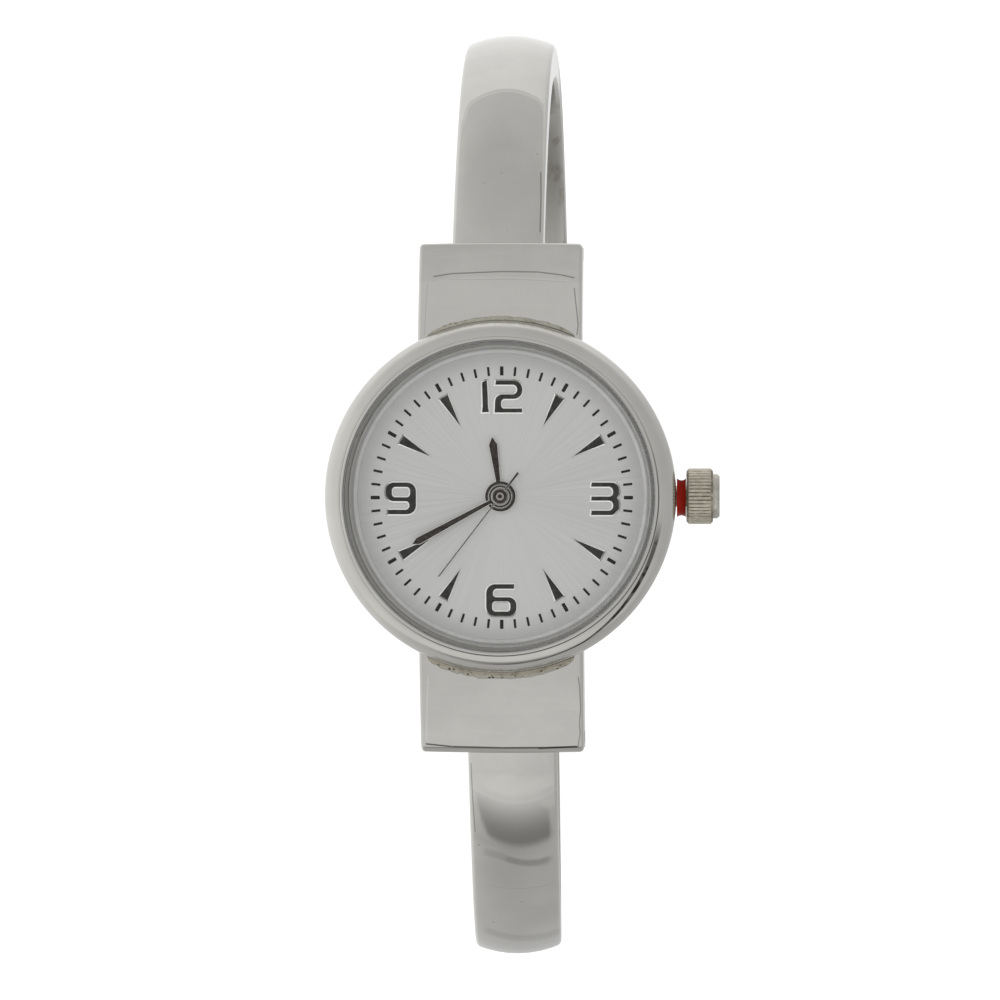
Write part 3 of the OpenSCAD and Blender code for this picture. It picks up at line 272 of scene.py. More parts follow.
def skin(count, rings):
    # the faces of a tube of rings, each of count points, with both ends closed
    faces = [[s * count + i, s * count + (i + 1) % count, (s + 1) * count + (i + 1) % count,
              (s + 1) * count + i] for s in range(rings) for i in range(count)]
    return faces + [list(range(count)), [rings * count + i for i in reversed(range(count))]]


def box(name, low, high):
    corners = [[(low, high)[(i >> axis) & 1][axis] for axis in range(3)] for i in range(8)]
    sides = [(0, 2, 3, 1), (4, 5, 7, 6), (0, 1, 5, 4), (2, 6, 7, 3), (0, 4, 6, 2), (1, 3, 7, 5)]
    return putMesh(name, corners, sides)


def fixModifiers(piece):
    view = bpy.context.evaluated_depsgraph_get()
    mesh = bpy.data.meshes.new_from_object(piece.evaluated_get(view))
    piece.modifiers.clear()
    piece.data = mesh
    return piece


def carve(piece, other, operation="DIFFERENCE"):
    cut = piece.modifiers.new("carve", "BOOLEAN")
    cut.operation, cut.solver, cut.object = operation, "EXACT", other
    fixModifiers(piece)
    bpy.data.objects.remove(other)
    return piece


def softenEdges(piece, width, angle=40, rim=-1):
    bevel = piece.modifiers.new("bevel", "BEVEL")
    bevel.width, bevel.segments, bevel.limit_method = width * mm, 2, "ANGLE"
    bevel.angle_limit, bevel.material = math.radians(angle), rim
    return fixModifiers(piece)


def smooth(piece, angle=32):
    piece.data.shade_smooth()
    piece.data.set_sharp_from_angle(angle=math.radians(angle))
    return piece


def solidCopy(node, name):
    # a node's loose triangles merged into a solid with whole flat faces
    piece = bpy.data.objects.new(name, frame["nodes"][node].data.copy())
    scene.collection.objects.link(piece)
    piece.data.materials.clear()

    def merge(form):
        bmesh.ops.remove_doubles(form, verts=form.verts, dist=2e-7)
        bmesh.ops.dissolve_limit(form, angle_limit=math.radians(0.4), verts=form.verts, edges=form.edges)
    editMesh(piece, merge)
    return piece


def moveBy(x, y, z):
    return Matrix.Translation((x * mm, y * mm, z * mm))


def turnBy(degrees, axis):
    return Matrix.Rotation(math.radians(degrees), 4, axis)


def turned(piece, matrix):
    piece.data.transform(matrix)
    return piece


nodeSlots = {part["node"]: part["material_slot"] for part in frame["record"]["subparts"]}


def seat(piece, materials, body, *nodes):
    # finish, body and the solids that the piece stands for
    for i, material in enumerate(materials):
        if i < len(piece.data.materials):
            piece.data.materials[i] = material
        else:
            piece.data.materials.append(material)
    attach(piece, body)
    if nodes:
        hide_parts(*nodes)
        nodeSlots[nodes[0]]
    return piece


# geometry trees

class Recipe(NodeMaker):
    kinds = {float: "NodeSocketFloat", int: "NodeSocketInt"}

    def __init__(self, name, sizes):
        super().__init__(bpy.data.node_groups.new(name, "GeometryNodeTree"))
        self.tree.interface.new_socket("Geometry", in_out="OUTPUT", socket_type="NodeSocketGeometry")
        for key, value in sizes.items():
            kind = self.kinds.get(type(value), "NodeSocketObject")
            self.tree.interface.new_socket(key, in_out="INPUT", socket_type=kind)
        self.tree.interface.new_socket("Finish", in_out="INPUT", socket_type="NodeSocketMaterial")
        self.sizes = sizes
        self.given = self.add("NodeGroupInput")

    def __getitem__(self, name):
        return self.given.part(name)

    def geo(self, kind, inputs=(), settings=(), output=0):
        return self.add("GeometryNode" + kind, settings, inputs, output)

    def moved(self, geometry, position):
        return self.geo("SetPosition", {"Geometry": geometry, "Position": position})

    # a row of points on a line, to be laid on a path by their index
    def row(self, count):
        line = self.geo("CurvePrimitiveLine", {"End": (0.0, 0.0, 1.0)})
        return self.geo("ResampleCurve", {"Curve": line, "Count": count})

    def circle(self, count, radius):
        return self.geo("CurvePrimitiveCircle", {"Resolution": count, "Radius": radius})

    def softened(self, curve, count, radius):
        rounding = {"Curve": curve, "Count": count, "Radius": radius, "Limit Radius": True}
        return self.geo("FilletCurve", rounding, {"mode": "POLY"})

    def swept(self, path, section):
        return self.geo("CurveToMesh", {"Curve": path, "Profile Curve": section, "Fill Caps": True})

    # from the tree's own upright axis onto one along x
    def laid(self, geometry, place):
        turning = {"Geometry": geometry, "Rotation": (0.0, math.pi / 2, 0.0), "Translation": place}
        return self.geo("Transform", turning)

    def grow(self, name, geometry, finish):
        # the tree ends here, and the plain mesh is made
        whole = self.geo("RealizeInstances", [geometry])
        sized = self.geo("Transform", {"Geometry": whole, "Scale": (mm, mm, mm)})
        dressed = self.geo("SetMaterial", {"Geometry": sized, "Material": self["Finish"]})
        self.add("NodeGroupOutput", {}, [dressed])
        seed = bpy.data.objects.new(name, bpy.data.meshes.new(name))
        modifier = seed.modifiers.new("recipe", "NODES")
        modifier.node_group = self.tree
        for item in self.tree.interface.items_tree:
            if item.in_out == "INPUT":
                modifier[item.identifier] = self.sizes.get(item.name, finish)
        scene.collection.objects.link(seed)
        return fixModifiers(seed)


# stage

stageSet = {"viewX": 0.0159, "viewY": 0.0033, "viewDistance": 0.4008, "lens": 202.6,
            "aim": (-0.00004, -0.00026, 0.0045), "floorRadius": 0.6, "ambient": 0.5}

world = bpy.data.worlds.new("lightTent")
scene.world = world
world.use_nodes = True
tent = NodeMaker(world.node_tree)
tent.tree.nodes.clear()
toRight, toBack, up = tent.split(tent.add("ShaderNodeTexCoord", {}, {}, "Generated"))
rays = tent.add("ShaderNodeLightPath")
glossy = rays.part("Is Glossy Ray")
seen = rays.part("Is Camera Ray").most(rays.part("Is Transmission Ray"))
wayX, wayY = tent.split(tent.vector("NORMALIZE", tent.joined(toRight, toBack, 0.0)))[:2]
brightest = 1.2
# how bright each side of the room is against the height of the ray
tentWalls = {"right": [(-1.0, 0.62), (0.0, 0.61), (0.5, 0.62), (1.0, 0.70)],
             "left": [(-1.0, 1.04), (-0.42, 1.06), (-0.09, 1.02), (0.21, 0.955), (0.5, 0.94), (0.64, 0.78),
                      (1.0, 0.70)],
             "back": [(-1.0, 1.03), (-0.45, 1.02), (-0.248, 1.02), (-0.244, 0.76), (-0.236, 0.76),
                      (-0.232, 0.86), (-0.212, 0.86), (-0.207, 0.73), (-0.12, 0.725), (0.10, 0.64),
                      (0.45, 0.67), (0.57, 0.68), (0.73, 0.74), (1.0, 0.70)],
             "front": [(-1.0, 0.60), (-0.35, 0.56), (-0.26, 0.57), (-0.03, 0.54), (0.06, 0.55), (0.11, 0.48),
                       (0.13, 0.51), (0.25, 0.63), (0.33, 0.79), (0.37, 0.89), (0.41, 0.89), (0.44, 0.83),
                       (0.53, 0.875), (0.62, 0.875), (0.70, 0.84), (1.0, 0.70)]}
wallShare = {"right": wayX.most(0.0), "left": (-wayX).most(0.0), "back": wayY.most(0.0),
             "front": (-wayY).most(0.0)}
# the bands in front are bowed down at both sides
aside = wayX / wayY.least(-0.2)
bow = (aside * aside).least(1.0)
tentWall = 0.0
for side, levels in tentWalls.items():
    stops = [((height + 1) / 2, grey(level / brightest)) for height, level in levels]
    ray = up + bow * 0.35 if side == "front" else up
    wall = tent.add("ShaderNodeValToRGB", {"stops": stops}, [ray * 0.5 + 0.5]) * brightest
    tentWall = wall * wallShare[side] * wallShare[side] + tentWall
# in front lies a dark object, rounded below and fading upwards
inFront = (-wayY).step(0.0, 0.2)
fall = up + bow * 0.34 + wayX * 0.054
leaning = wayX + fall * 1.3
darkPlace = inFront * leaning.step(-0.23, -0.12) * (1.0 - wayX.step(0.44, 0.55))
dark = fall.step(0.10, 0.145) * (1.0 - fall.step(0.16, 0.34))
tentWall = tentWall * (1.0 - 0.46 * dark * darkPlace)
level = seen + (1.0 - seen) * (glossy * tentWall + (1.0 - glossy) * stageSet["ambient"])
tent.add("ShaderNodeOutputWorld", {},
         [tent.add("ShaderNodeBackground", {}, {"Color": grey(1.0), "Strength": level})])

panels = {"keyPanel": ((-0.35, 0.30, 0.55), 1.6, 0.5), "fillPanel": ((0.45, -0.25, 0.45), 0.8, 0.4)}
for name, (place, power, size) in panels.items():
    lamp = bpy.data.lights.new(name, "AREA")
    lamp.energy, lamp.size = power, size
    panel = bpy.data.objects.new(name, lamp)
    panel.location = place
    panel.rotation_euler = (-Vector(place)).to_track_quat("-Z", "Y").to_euler()
    panel.visible_glossy = False
    scene.collection.objects.link(panel)

floorZ = cadBox[0].z / mm - 0.02
turns = [math.radians(5 * i) for i in range(72)]
spread = stageSet["floorRadius"] / mm
floor = putMesh("floorPaper", [(spread * math.cos(turn), spread * math.sin(turn), floorZ) for turn in turns],
                [list(range(72))])
paper = Finish("floorPaper")
sight = paper.add("ShaderNodeLightPath", {}, {}, "Is Camera Ray")
lit = paper.add("ShaderNodeBsdfDiffuse", {}, {"Color": grey(0.55)})
glow = paper.add("ShaderNodeEmission", {}, {"Color": grey(1.0), "Strength": sight * 0.75})
paper.add("ShaderNodeOutputMaterial", {}, [paper.add("ShaderNodeAddShader", {}, [lit, glow])])
floor.data.materials.append(paper.material)
floor.visible_glossy = False

lens = bpy.data.cameras.new("camera")
lens.lens, lens.sensor_width = stageSet["lens"], 36.0
lens.clip_start, lens.clip_end = 0.01, 5.0
camera = bpy.data.objects.new("camera", lens)
aim = Vector(stageSet["aim"])
across, along = (stageSet[view] / stageSet["viewDistance"] for view in ("viewX", "viewY"))
away = math.sqrt(1 - across ** 2 - along ** 2)
camera.location = aim + Vector((across, along, away)) * stageSet["viewDistance"]
# leaning about the two level axes only, so the picture doesn't roll
lean = math.asin(along)
camera.rotation_euler = (-lean, math.asin(across / math.cos(lean)), 0.0)
scene.collection.objects.link(camera)
scene.camera = camera
scene.view_settings.view_transform = "Standard"
print("stage set")


# finishes

chrome = (0.585, 0.577, 0.546)


def platedMetal(name, look, extra=None):
    # polished plating: faint waves, haze, hairlines and a few dark specks
    f = Finish(name)
    tint = look.get("tint", chrome)
    haze = f.grain(4.0, 4, 0.6)
    hair = f.grain(0.05, 3, 0.7, look.get("brush", (1.0, 0.12, 1.0)))
    waves = f.grain(look.get("waveSize", 5.0), 1, 0.4)
    specks = f.cells(0.9).step(0.0, 0.09)
    colour = f.mix(haze.step(0.35, 0.7), shade(tint, 0.965), shade(tint, 1.03))
    colour = f.mix((1.0 - specks) * look.get("specks", 0.0), colour, shade(tint, 0.45))
    drift = look.get("drift", 1.0)
    rough = look.get("rough", 0.07) + (0.05 * haze + 0.04 * hair) * drift
    height = waves * look.get("waves", 0.05) + hair * 0.00016
    if extra:
        colour, rough, height = extra(f, colour, rough, height)
    return f.surface(colour, rough, f.bump(height, 1.0), 1.0)


def plainFinish(name, look):
    # colour and roughness drift over a grain, with the grain's own relief
    f = Finish(name)
    drift = f.grain(look.get("size", 1.5), 4, 0.6)
    fine = f.grain(look.get("fine", 0.08), 3, 0.6, look.get("stretch", (1, 1, 1)))
    colour = f.mix(drift.step(0.3, 0.7), shade(look["colour"], 0.88), shade(look["colour"], 1.08))
    colour = f.mix(fine.step(0.45, 0.75) * 0.5, colour, shade(look["colour"], look.get("dirt", 0.8)))
    rough = look.get("rough", 0.4) + 0.14 * (fine - 0.5) + 0.1 * (drift - 0.5)
    return f.surface(colour, rough, f.bump(fine, look.get("depth", 0.004)), look.get("metallic", 0.0))


plainLooks = {"satinSteel": {"colour": (0.52, 0.51, 0.49), "metallic": 1.0, "rough": 0.28,
                             "stretch": (0.1, 1, 1), "fine": 0.05},
              "brightSteel": {"colour": (0.62, 0.61, 0.58), "metallic": 1.0, "rough": 0.16, "depth": 0.001},
              "wheelBrass": {"colour": (0.68, 0.50, 0.22), "metallic": 1.0, "rough": 0.3, "depth": 0.002},
              "plateNickel": {"colour": (0.60, 0.57, 0.50), "metallic": 1.0, "rough": 0.34,
                              "stretch": (1, 0.12, 1)},
              "nylon": {"colour": (0.80, 0.79, 0.74), "rough": 0.5, "dirt": 0.92},
              "blackRubber": {"colour": (0.035, 0.035, 0.033), "rough": 0.62, "depth": 0.006},
              "greyGasket": {"colour": (0.20, 0.195, 0.175), "rough": 0.5},
              "boardGreen": {"colour": (0.02, 0.13, 0.06), "rough": 0.35, "size": 0.9},
              "chipBlack": {"colour": (0.018, 0.018, 0.018), "rough": 0.55, "fine": 0.04},
              "quartzCan": {"colour": (0.66, 0.65, 0.62), "metallic": 1.0, "rough": 0.22},
              "rotorMagnet": {"colour": (0.16, 0.155, 0.16), "metallic": 0.8, "rough": 0.42},
              "coreIron": {"colour": (0.45, 0.43, 0.40), "metallic": 1.0, "rough": 0.38,
                           "stretch": (0.15, 1, 1)},
              "bobbinBlack": {"colour": (0.03, 0.028, 0.027), "rough": 0.5}}
plain = {name: plainFinish(name, look) for name, look in plainLooks.items()}


def copperEnamel():
    f = Finish("copperEnamel")
    turns = f.grain(0.06, 1, 0.4, (1, 0.02, 0.02))
    colour = f.mix(turns.step(0.35, 0.65), (0.38, 0.11, 0.03, 1), (0.62, 0.24, 0.09, 1))
    return f.surface(colour, 0.25 + 0.15 * turns, f.bump(turns, 0.004), 0.9)


cellCentre = (-1.99, -5.46, 0.0)


def cellSteel():
    # pressed can with its gasket line and turned face
    f = Finish("cellSteel")
    radius = f.vector("LENGTH", f.vector("SUBTRACT", f.place, cellCentre), output=1)
    rings = f.grain(0.05, 2, 0.6, (1, 1, 1), f.joined(radius, 0.0, 0.0))
    seam = f.z.band(1.35, 0.08)
    colour = f.mix(rings.step(0.3, 0.7), grey(0.50), grey(0.62))
    colour = f.mix(seam, colour, grey(0.05))
    return f.surface(colour, 0.22 + 0.2 * rings, f.bump(rings, 0.002), 1.0 - seam)


def arborBrass():
    # brass wheel on a steel arbor
    f = Finish("arborBrass")
    fine = f.grain(0.08, 3, 0.6)
    steel = f.mix(fine, grey(0.26), grey(0.40))
    colour = f.mix(f.z.step(3.4, 3.5), f.mix(fine, (0.60, 0.44, 0.19, 1), (0.70, 0.52, 0.23, 1)), steel)
    # the tip, sunk in the second hand's hub, is painted dark as painted shade
    colour = f.mix(f.z.step(5.3, 5.4) * 0.9, colour, (0.03, 0.028, 0.025, 1))
    return f.surface(colour, 0.25 + 0.12 * fine, f.bump(fine, 0.001), 1.0)


plain["arborBrass"] = arborBrass()
plain["copperEnamel"] = copperEnamel()
plain["cellSteel"] = cellSteel()
nodeFinishes = {"blackRubber": ("back_gasket", "crown_gasket"), "greyGasket": ("crystal_gasket",),
                "arborBrass": ("second_wheel",),
                "wheelBrass": ("clutch_wheel", "setting_wheel", "cannon_pinion", "minute_wheel", "hour_wheel",
                               "third_wheel", "centre_wheel"), "satinSteel": ("stem", "setting_lever"),
                "brightSteel": ("battery_clamp", "movement_screws"),
                "plateNickel": ("main_plate", "train_bridge"), "nylon": ("fifth_wheel", "movement_ring"),
                "rotorMagnet": ("rotor",), "coreIron": ("stator", "coil_core"),
                "boardGreen": ("circuit_board",), "chipBlack": ("circuit_chip",),
                "quartzCan": ("quartz_crystal",), "cellSteel": ("battery",)}


def dressNode(node, material):
    materials = frame["nodes"][node].data.materials
    materials.clear()
    materials.append(material)


for finishName, nodes in nodeFinishes.items():
    for node in nodes:
        dressNode(node, plain[finishName])
print("finishes ready")


# case

caseForm = {"radius": 12.5, "bore": 10.9, "ledge": 10.57, "ringSeat": 11.33, "lowZ": 0.62, "backEdge": 11.3,
            "flankLow": 2.4, "flankTop": 5.2, "shoulderZ": 6.9, "seatZ": 6.06, "ledgeZ": 5.3, "crownZ": 2.5,
            "crownHole": 1.11}
# the stem's own line, and the facets round the large turned pieces
onStem = ("x", (0, 0, caseForm["crownZ"]))
fineSteps = 360


def flankArc(low, high, steps, grow=0.0):
    # quarter-like arc from an upright tangent at the flank to a second point
    run, rise = caseForm["radius"] - high[0], high[1] - low[1]
    radius = (run * run + rise * rise) / (2 * run)
    middle = caseForm["radius"] - radius
    points = []
    for s in range(steps + 1):
        height = rise * s / steps
        points.append((middle + math.sqrt(radius ** 2 - height ** 2) + grow, low[1] + height))
    return points


def caseFlank(grow=0.0):
    c = caseForm
    tuck = flankArc((c["radius"], c["flankLow"]), (c["backEdge"], c["lowZ"]), 10, grow)
    top = flankArc((c["radius"], c["flankTop"]), (c["ringSeat"], c["shoulderZ"]), 40, grow)
    return tuck[::-1] + top


def toward(f, degrees, low, high):
    # 1 for the side of the case that lies in this direction
    wx, wy = f.split(f.vector("NORMALIZE", f.joined(f.x, f.y, 0.0)))[:2]
    turn = math.radians(degrees)
    return (wx * math.cos(turn) + wy * math.sin(turn)).step(low, high)


def caseSheen(f, colour, rough, height):
    # a thin line of painted shade in the seam round the crystal's ring, and a warm stain beside the solder
    away = f.fromAxis()
    colour = f.mix(away.band(11.335, 0.03) * 0.2, colour, (0.10, 0.095, 0.085, 1))
    # a painted reflection: the dark line along the lower right of the flank, broadest beside the crown
    right = f.x / away
    half = (right - 0.45).most(0.0) * 0.26 + 0.045
    miss = (away - 11.9 + (right - 0.5).most(0.0) * 0.8).maths("ABSOLUTE") / half
    reach = toward(f, -40, 0.84, 0.94).most(toward(f, -70, 0.85, 0.97) * 0.7)
    line = (1.0 - miss.step(0.6, 1.1)) * reach * (0.8 + 0.2 * f.grain(0.8, 2, 0.5).step(0.4, 0.6))
    colour = f.mix(line * 0.97, colour, (0.012, 0.011, 0.009, 1))
    beside = 1.0 - f.x.maths("ABSOLUTE").step(4.4, 5.4)
    stain = beside * away.step(12.05, 12.4) * f.grain(0.5, 4, 0.7).step(0.3, 0.6)
    colour = f.mix(stain * 0.6, colour, (0.33, 0.29, 0.22, 1))
    return colour, rough + 0.25 * stain, height


def caseShell():
    c = caseForm
    inside = [(c["ringSeat"], c["seatZ"]), (c["ledge"] + 0.15, c["seatZ"]), (c["ledge"], c["ledgeZ"]),
              (c["bore"], c["ledgeZ"]), (c["bore"], c["lowZ"])]
    shell = lathe("caseShell", caseFlank() + inside, fineSteps)
    return carve(shell, lathe("hole", rod(c["crownHole"], 9.9, 14), 64, *onStem))


caseLook = {"waves": 0.01, "waveSize": 6.0, "rough": 0.05, "specks": 0.12, "brush": (1, 1, 0.2)}
caseSilver = platedMetal("caseSilver", caseLook, caseSheen)
seat(smooth(caseShell()), [caseSilver], "case", "case_body")

ringForm = {"inner": 10.97, "outer": 11.32, "start": caseForm["seatZ"], "end": 7.095}
ringOutline = rounded(sleeve(**ringForm), [0.03, 0.03, 0.174, 0.174], 8)


def ringSheen(f, colour, rough, height):
    # painted reflections: a darker inner half, and dark lines, seam and thin below, at the upper left and the
    # lower right
    away = f.fromAxis()
    colour = f.mix((1.0 - away.step(11.07, 11.13)) * 0.8, colour, grey(0.36))
    seam = away.band(11.09, 0.05) * toward(f, 125, -0.1, 0.5) * 0.85
    thin = away.band(11.28, 0.05) * toward(f, -55, 0.1, 0.6)
    colour = f.mix(seam.most(thin) * 0.95, colour, (0.012, 0.012, 0.011, 1))
    return colour, rough, height


ringSilver = platedMetal("ringSilver", {"waves": 0.0, "rough": 0.04, "brush": (1, 1, 0.2)}, ringSheen)
seat(smooth(lathe("crystalRing", ringOutline, fineSteps), 60), [ringSilver], "case", "crystal_ring")

surroundOutline = rounded([(10.2, 4.45), (10.85, 4.45), (10.85, 5.3), (10.57, 5.3), (10.2, 4.70)],
                          [0.0, 0.05, 0.05, 0.1, 0.1], 5)


def surroundFinish():
    # a pale line painted on the slope between two duller ones, a painted highlight
    f = Finish("surroundSilver")
    away = f.fromAxis()
    fine = f.grain(0.15, 3, 0.6)
    line = away.step(10.16, 10.24) * (1.0 - away.step(10.40, 10.50))
    colour = f.mix(line, f.mix(fine, grey(0.52), grey(0.60)), f.mix(fine, grey(0.92), grey(0.98)))
    return f.surface(colour, 0.40 + 0.1 * fine, f.bump(fine, 0.001), 0.9)


seat(smooth(lathe("dialSurround", surroundOutline, fineSteps), 50), [surroundFinish()], "case",
     "dial_surround")


def clearGlass():
    # nearly nothing is seen of the crystal but its bevelled edge, painted pale and less clear as a painted
    # reflection
    f = Finish("crystalGlass")
    smear = f.grain(6.0, 3, 0.6)
    away = f.fromAxis()
    edge = away.step(10.68, 10.74)
    pale = f.mix(edge, (0.02, 0.02, 0.02, 1), (0.55, 0.55, 0.53, 1))
    return f.surface(pale, 0.03 + 0.05 * smear, more={"Alpha": 0.022 + 0.3 * edge, "IOR": 1.45})


glassForm = {"radius": 10.96, "low": 6.18, "top": 7.15, "bevel": 0.16}


def crystalSolid():
    radius, low, top, bevel = glassForm.values()
    outline = [(0, low), (radius, low), (radius, top - bevel), (radius - bevel, top), (0, top)]
    return lathe("crystalGlass", rounded(outline, [0, 0.03, 0.05, 0.05, 0], 3))


seat(smooth(crystalSolid(), 25), [clearGlass()], "case", "crystal")

tubeForm = {"inner": 0.8, "outer": 1.1, "start": 10.95, "end": 12.46}
tube = lathe("crownTube", rounded(sleeve(**tubeForm), 0.04, 3), 96, *onStem)
seat(smooth(tube), [plain["brightSteel"]], "case", "crown_tube")


def backSheen(f, colour, rough, height):
    # turned rings on the outer face
    away = f.fromAxis()
    rings = f.grain(0.12, 3, 0.6, (1, 1, 1), f.joined(away, 0.0, 0.0))
    return colour, rough + 0.16 * rings, height + rings * 0.0008


backSilver = platedMetal("backSilver", {"waves": 0.01, "rough": 0.1}, backSheen)
back = softenEdges(solidCopy("case_back", "caseBack"), 0.04, 30)
seat(smooth(back, 30), [backSilver], "case", "case_back")
print("case made")


# lug blocks and solder

blockForm = {"half": 5.85, "topRadius": 41.003, "lowRadius": 36.743, "arcZ": -35.443, "lip": 18.4,
             "start": 8.6, "edge": 0.42, "corner": 0.3, "bow": 0.08, "pocketHalf": 3.425, "pocketY": 14.0,
             "roofZ": 0.5307, "pinY": 17.4, "pinZ": -1.2193, "pinRadius": 0.5, "pinHalf": 5.74,
             "pinHole": 0.51, "clear": 11.6}
onPin = ("x", (0, blockForm["pinY"], blockForm["pinZ"]))


def arcHeight(radius, y):
    return blockForm["arcZ"] + math.sqrt(radius ** 2 - y ** 2)


def strokes(f, colour, lines):
    # thin lines through given points of the top view, each as (points, half width, share, colour)
    for points, half, share, ink in lines:
        for (x0, y0), (x1, y1) in zip(points, points[1:]):
            along = Vector((x1 - x0, y1 - y0))
            length = along.length
            way = along / length
            dx, dy = f.x - x0, f.y - y0
            run = dx * way.x + dy * way.y
            away = (dy * way.x - dx * way.y).maths("ABSOLUTE")
            inside = run.step(-half, half) * (1.0 - run.step(length - half, length + half))
            colour = f.mix((1.0 - away.step(half * 0.3, half)) * inside * share, colour, ink)
    return colour


lineDark = (0.10, 0.098, 0.09, 1)
lineBlack = (0.03, 0.03, 0.028, 1)
lineGrey = (0.2, 0.198, 0.185, 1)
linePale = (0.85, 0.85, 0.83, 1)
# painted reflections on the blocks: dark lines where the polished blocks reflect dark things, and pale
# painted highlights
blockReflectionLines = {"upper": [([(-4.9, 15.72), (-3.6, 15.93), (0.0, 16.08), (2.6, 16.04), (4.2, 15.84),
                          (5.2, 15.62)], 0.075, 0.62, lineDark),
                        ([(-4.6, 15.45), (0.0, 15.70), (4.8, 15.42)], 0.10, 0.13, (0.8, 0.8, 0.78, 1)),
                        ([(-3.8, 15.5), (1.5, 15.52), (4.6, 15.3)], 0.05, 0.16, lineDark),
                        ([(5.2, 14.9), (5.30, 14.0), (5.42, 13.0), (5.50, 12.2), (5.42, 11.5)], 0.06, 0.62,
                         lineDark), ([(-5.3, 15.2), (-5.40, 13.6), (-5.45, 11.5)], 0.05, 0.16, lineDark)],
              "lower": [([(-5.5, -17.80), (-3.6, -18.00), (0.0, -18.08), (3.0, -18.06), (5.35, -17.98)],
                         0.085, 0.85, lineBlack),
                        ([(2.6, -18.12), (5.45, -17.98)], 0.085, 0.8, (0.02, 0.02, 0.018, 1)),
                        ([(5.45, -17.95), (5.60, -17.0), (5.56, -16.2), (5.66, -15.2), (5.60, -13.6),
                          (5.5, -12.9)], 0.06, 0.6, lineDark),
                        ([(-5.42, -17.6), (-5.35, -15.0), (-5.2, -12.9)], 0.07, 0.25, linePale)]}


def blockSheen(lines, lift):
    def change(f, colour, rough, height):
        along = f.y.maths("ABSOLUTE")
        # the inner part, nearer the case, is painted lighter by the share lift, a painted reflection
        inner = 1.0 - (along + 0.012 * f.x * f.x).step(15.55, 15.75)
        colour = f.mix(inner * lift, colour, shade(chrome, 1.14))
        streak = f.grain(0.7, 3, 0.6, (0.15, 1, 1))
        colour = f.mix(streak.step(0.5, 0.75) * 0.12, colour, shade(chrome, 1.25))
        # the strokes laid on here are painted reflections and highlights
        return strokes(f, colour, lines), rough, height
    return change


blockLook = {"waves": 0.010, "waveSize": 5.0, "rough": 0.03, "drift": 0.5, "specks": 0.15}
blockFinishes = {"upper": platedMetal("upperBlockSilver", blockLook, blockSheen(blockReflectionLines["upper"], 0.35)),
                 "lower": platedMetal("lowerBlockSilver", dict(blockLook, tint=shade(chrome, 0.95)),
                                      blockSheen(blockReflectionLines["lower"], 0.1))}


def legHole(x):
    hole = lathe("hole", rod(knuckleForm["legHole"], -0.2, 1.2), 24)
    place = moveBy(x, blockForm["pocketY"], blockForm["pinZ"] + springForm["Coil Radius"])
    return turned(hole, place @ turnBy(90, "X"))


def blockSweep(name, form):
    # the block's cross-section carried along the cuff's top arc, a little past its outer end
    b = blockForm
    half, low, high, edge = b["half"], b["lowRadius"], b["topRadius"], form["lipEdge"]
    top = [((half - 0.6) * (1 - i / 6), high) for i in range(13)]
    section = rounded([(-half, low), (half, low), (half, high)] + top + [(-half, high)],
                      [0.06, 0.06, b["edge"]] + [0] * 13 + [b["edge"]], 6)
    count, steps, bends = len(section), 40, 7
    points = []
    for s in range(steps + bends + 1):
        share, bend = min(s / steps, 1.0), max(s - steps, 0) / bends * math.pi / 2
        for x, r in section:
            beyond = max(abs(x) - (half - b["corner"]), 0.0)
            corner = b["corner"] - math.sqrt(max(b["corner"] ** 2 - beyond ** 2, 0.0))
            lip = b["lip"] - form["short"] - b["bow"] * (x / half) ** 2 - corner
            y = b["start"] + (lip - edge - b["start"]) * share + edge * math.sin(bend)
            drop = edge * (1 - math.cos(bend)) if r > low + 0.5 else 0.0
            points.append((x, y, arcHeight(r, y) - drop))
    sweep = putMesh(name, points, skin(count, steps + bends))

    def triangles(form):
        bmesh.ops.triangulate(form, faces=[f for f in form.faces if len(f.verts) > 4])
    editMesh(sweep, triangles)
    return sweep


def lugBlock(name, form):
    b, shift = blockForm, form["shift"]
    block = turned(blockSweep(name, form), moveBy(form["off"], 0, 0))
    # the case's own outline is cut away, and all that lies under it
    around = [(0, 0.3), (b["clear"], 0.3)] + caseFlank(0.01) + [(caseForm["ringSeat"], 9), (0, 9)]
    carve(block, lathe("cut", around))
    carve(block, lathe("cut", rod(b["clear"], -20, 2.0)))
    wide = b["pocketHalf"]
    carve(block, box("cut", (shift - wide, b["pocketY"], -20), (shift + wide, 30, b["roofZ"])))
    carve(block, lathe("cut", rod(b["pinHole"], -7, 7), 48, *onPin))
    return carve(block, legHole(shift + springForm["Half Length"]))


springForm = {"Half Length": 1.7318, "Coil Radius": 0.95, "Wire Radius": 0.2, "Slope": 26.95,
              "Turns": 4.07486, "Arm Leg": 2.4, "Block Leg": 4.2, "Points": 320}
# the heels that stop the arm, the slack in its knuckle, and the spring's room and the holes of its legs
knuckleForm = {"heelX": 2.64, "heelHalf": 0.6, "heelBack": 2.6, "heelLow": 0.4, "slack": 0.02,
               "boreSlack": 0.03, "room": 1.35, "roomHalf": 2.05, "legHole": 0.25}
# for each end: its turn about the dial, how far the arm stands to the side, how short and how far off the
# middle its block is, and the arm's play in its hinge in degrees
ends = {"upper": {"turn": Matrix.Identity(4), "shift": -0.4, "short": 0.22, "off": -0.1, "lean": 0.75,
                  "swing": 0.0, "lipEdge": 0.22, "width": 6.55, "aside": 0.0, "reach": -0.14},
        "lower": {"turn": turnBy(180, "Z"), "shift": -0.65, "short": -0.07, "off": 0.0, "lean": 1.5,
                  "swing": 1.0, "lipEdge": 0.5, "width": 6.43, "aside": 0.03, "reach": 0.0}}
for end, form in ends.items():
    block = turned(lugBlock(end + "LugBlock", form), form["turn"])
    seat(smooth(block, 28), [blockFinishes[end]], "case", end + "_lug_block")

solderForm = {"half": 5.25, "climb": 0.36, "lump": 0.05, "foot": {"upper": 0.36, "lower": 0.56}}


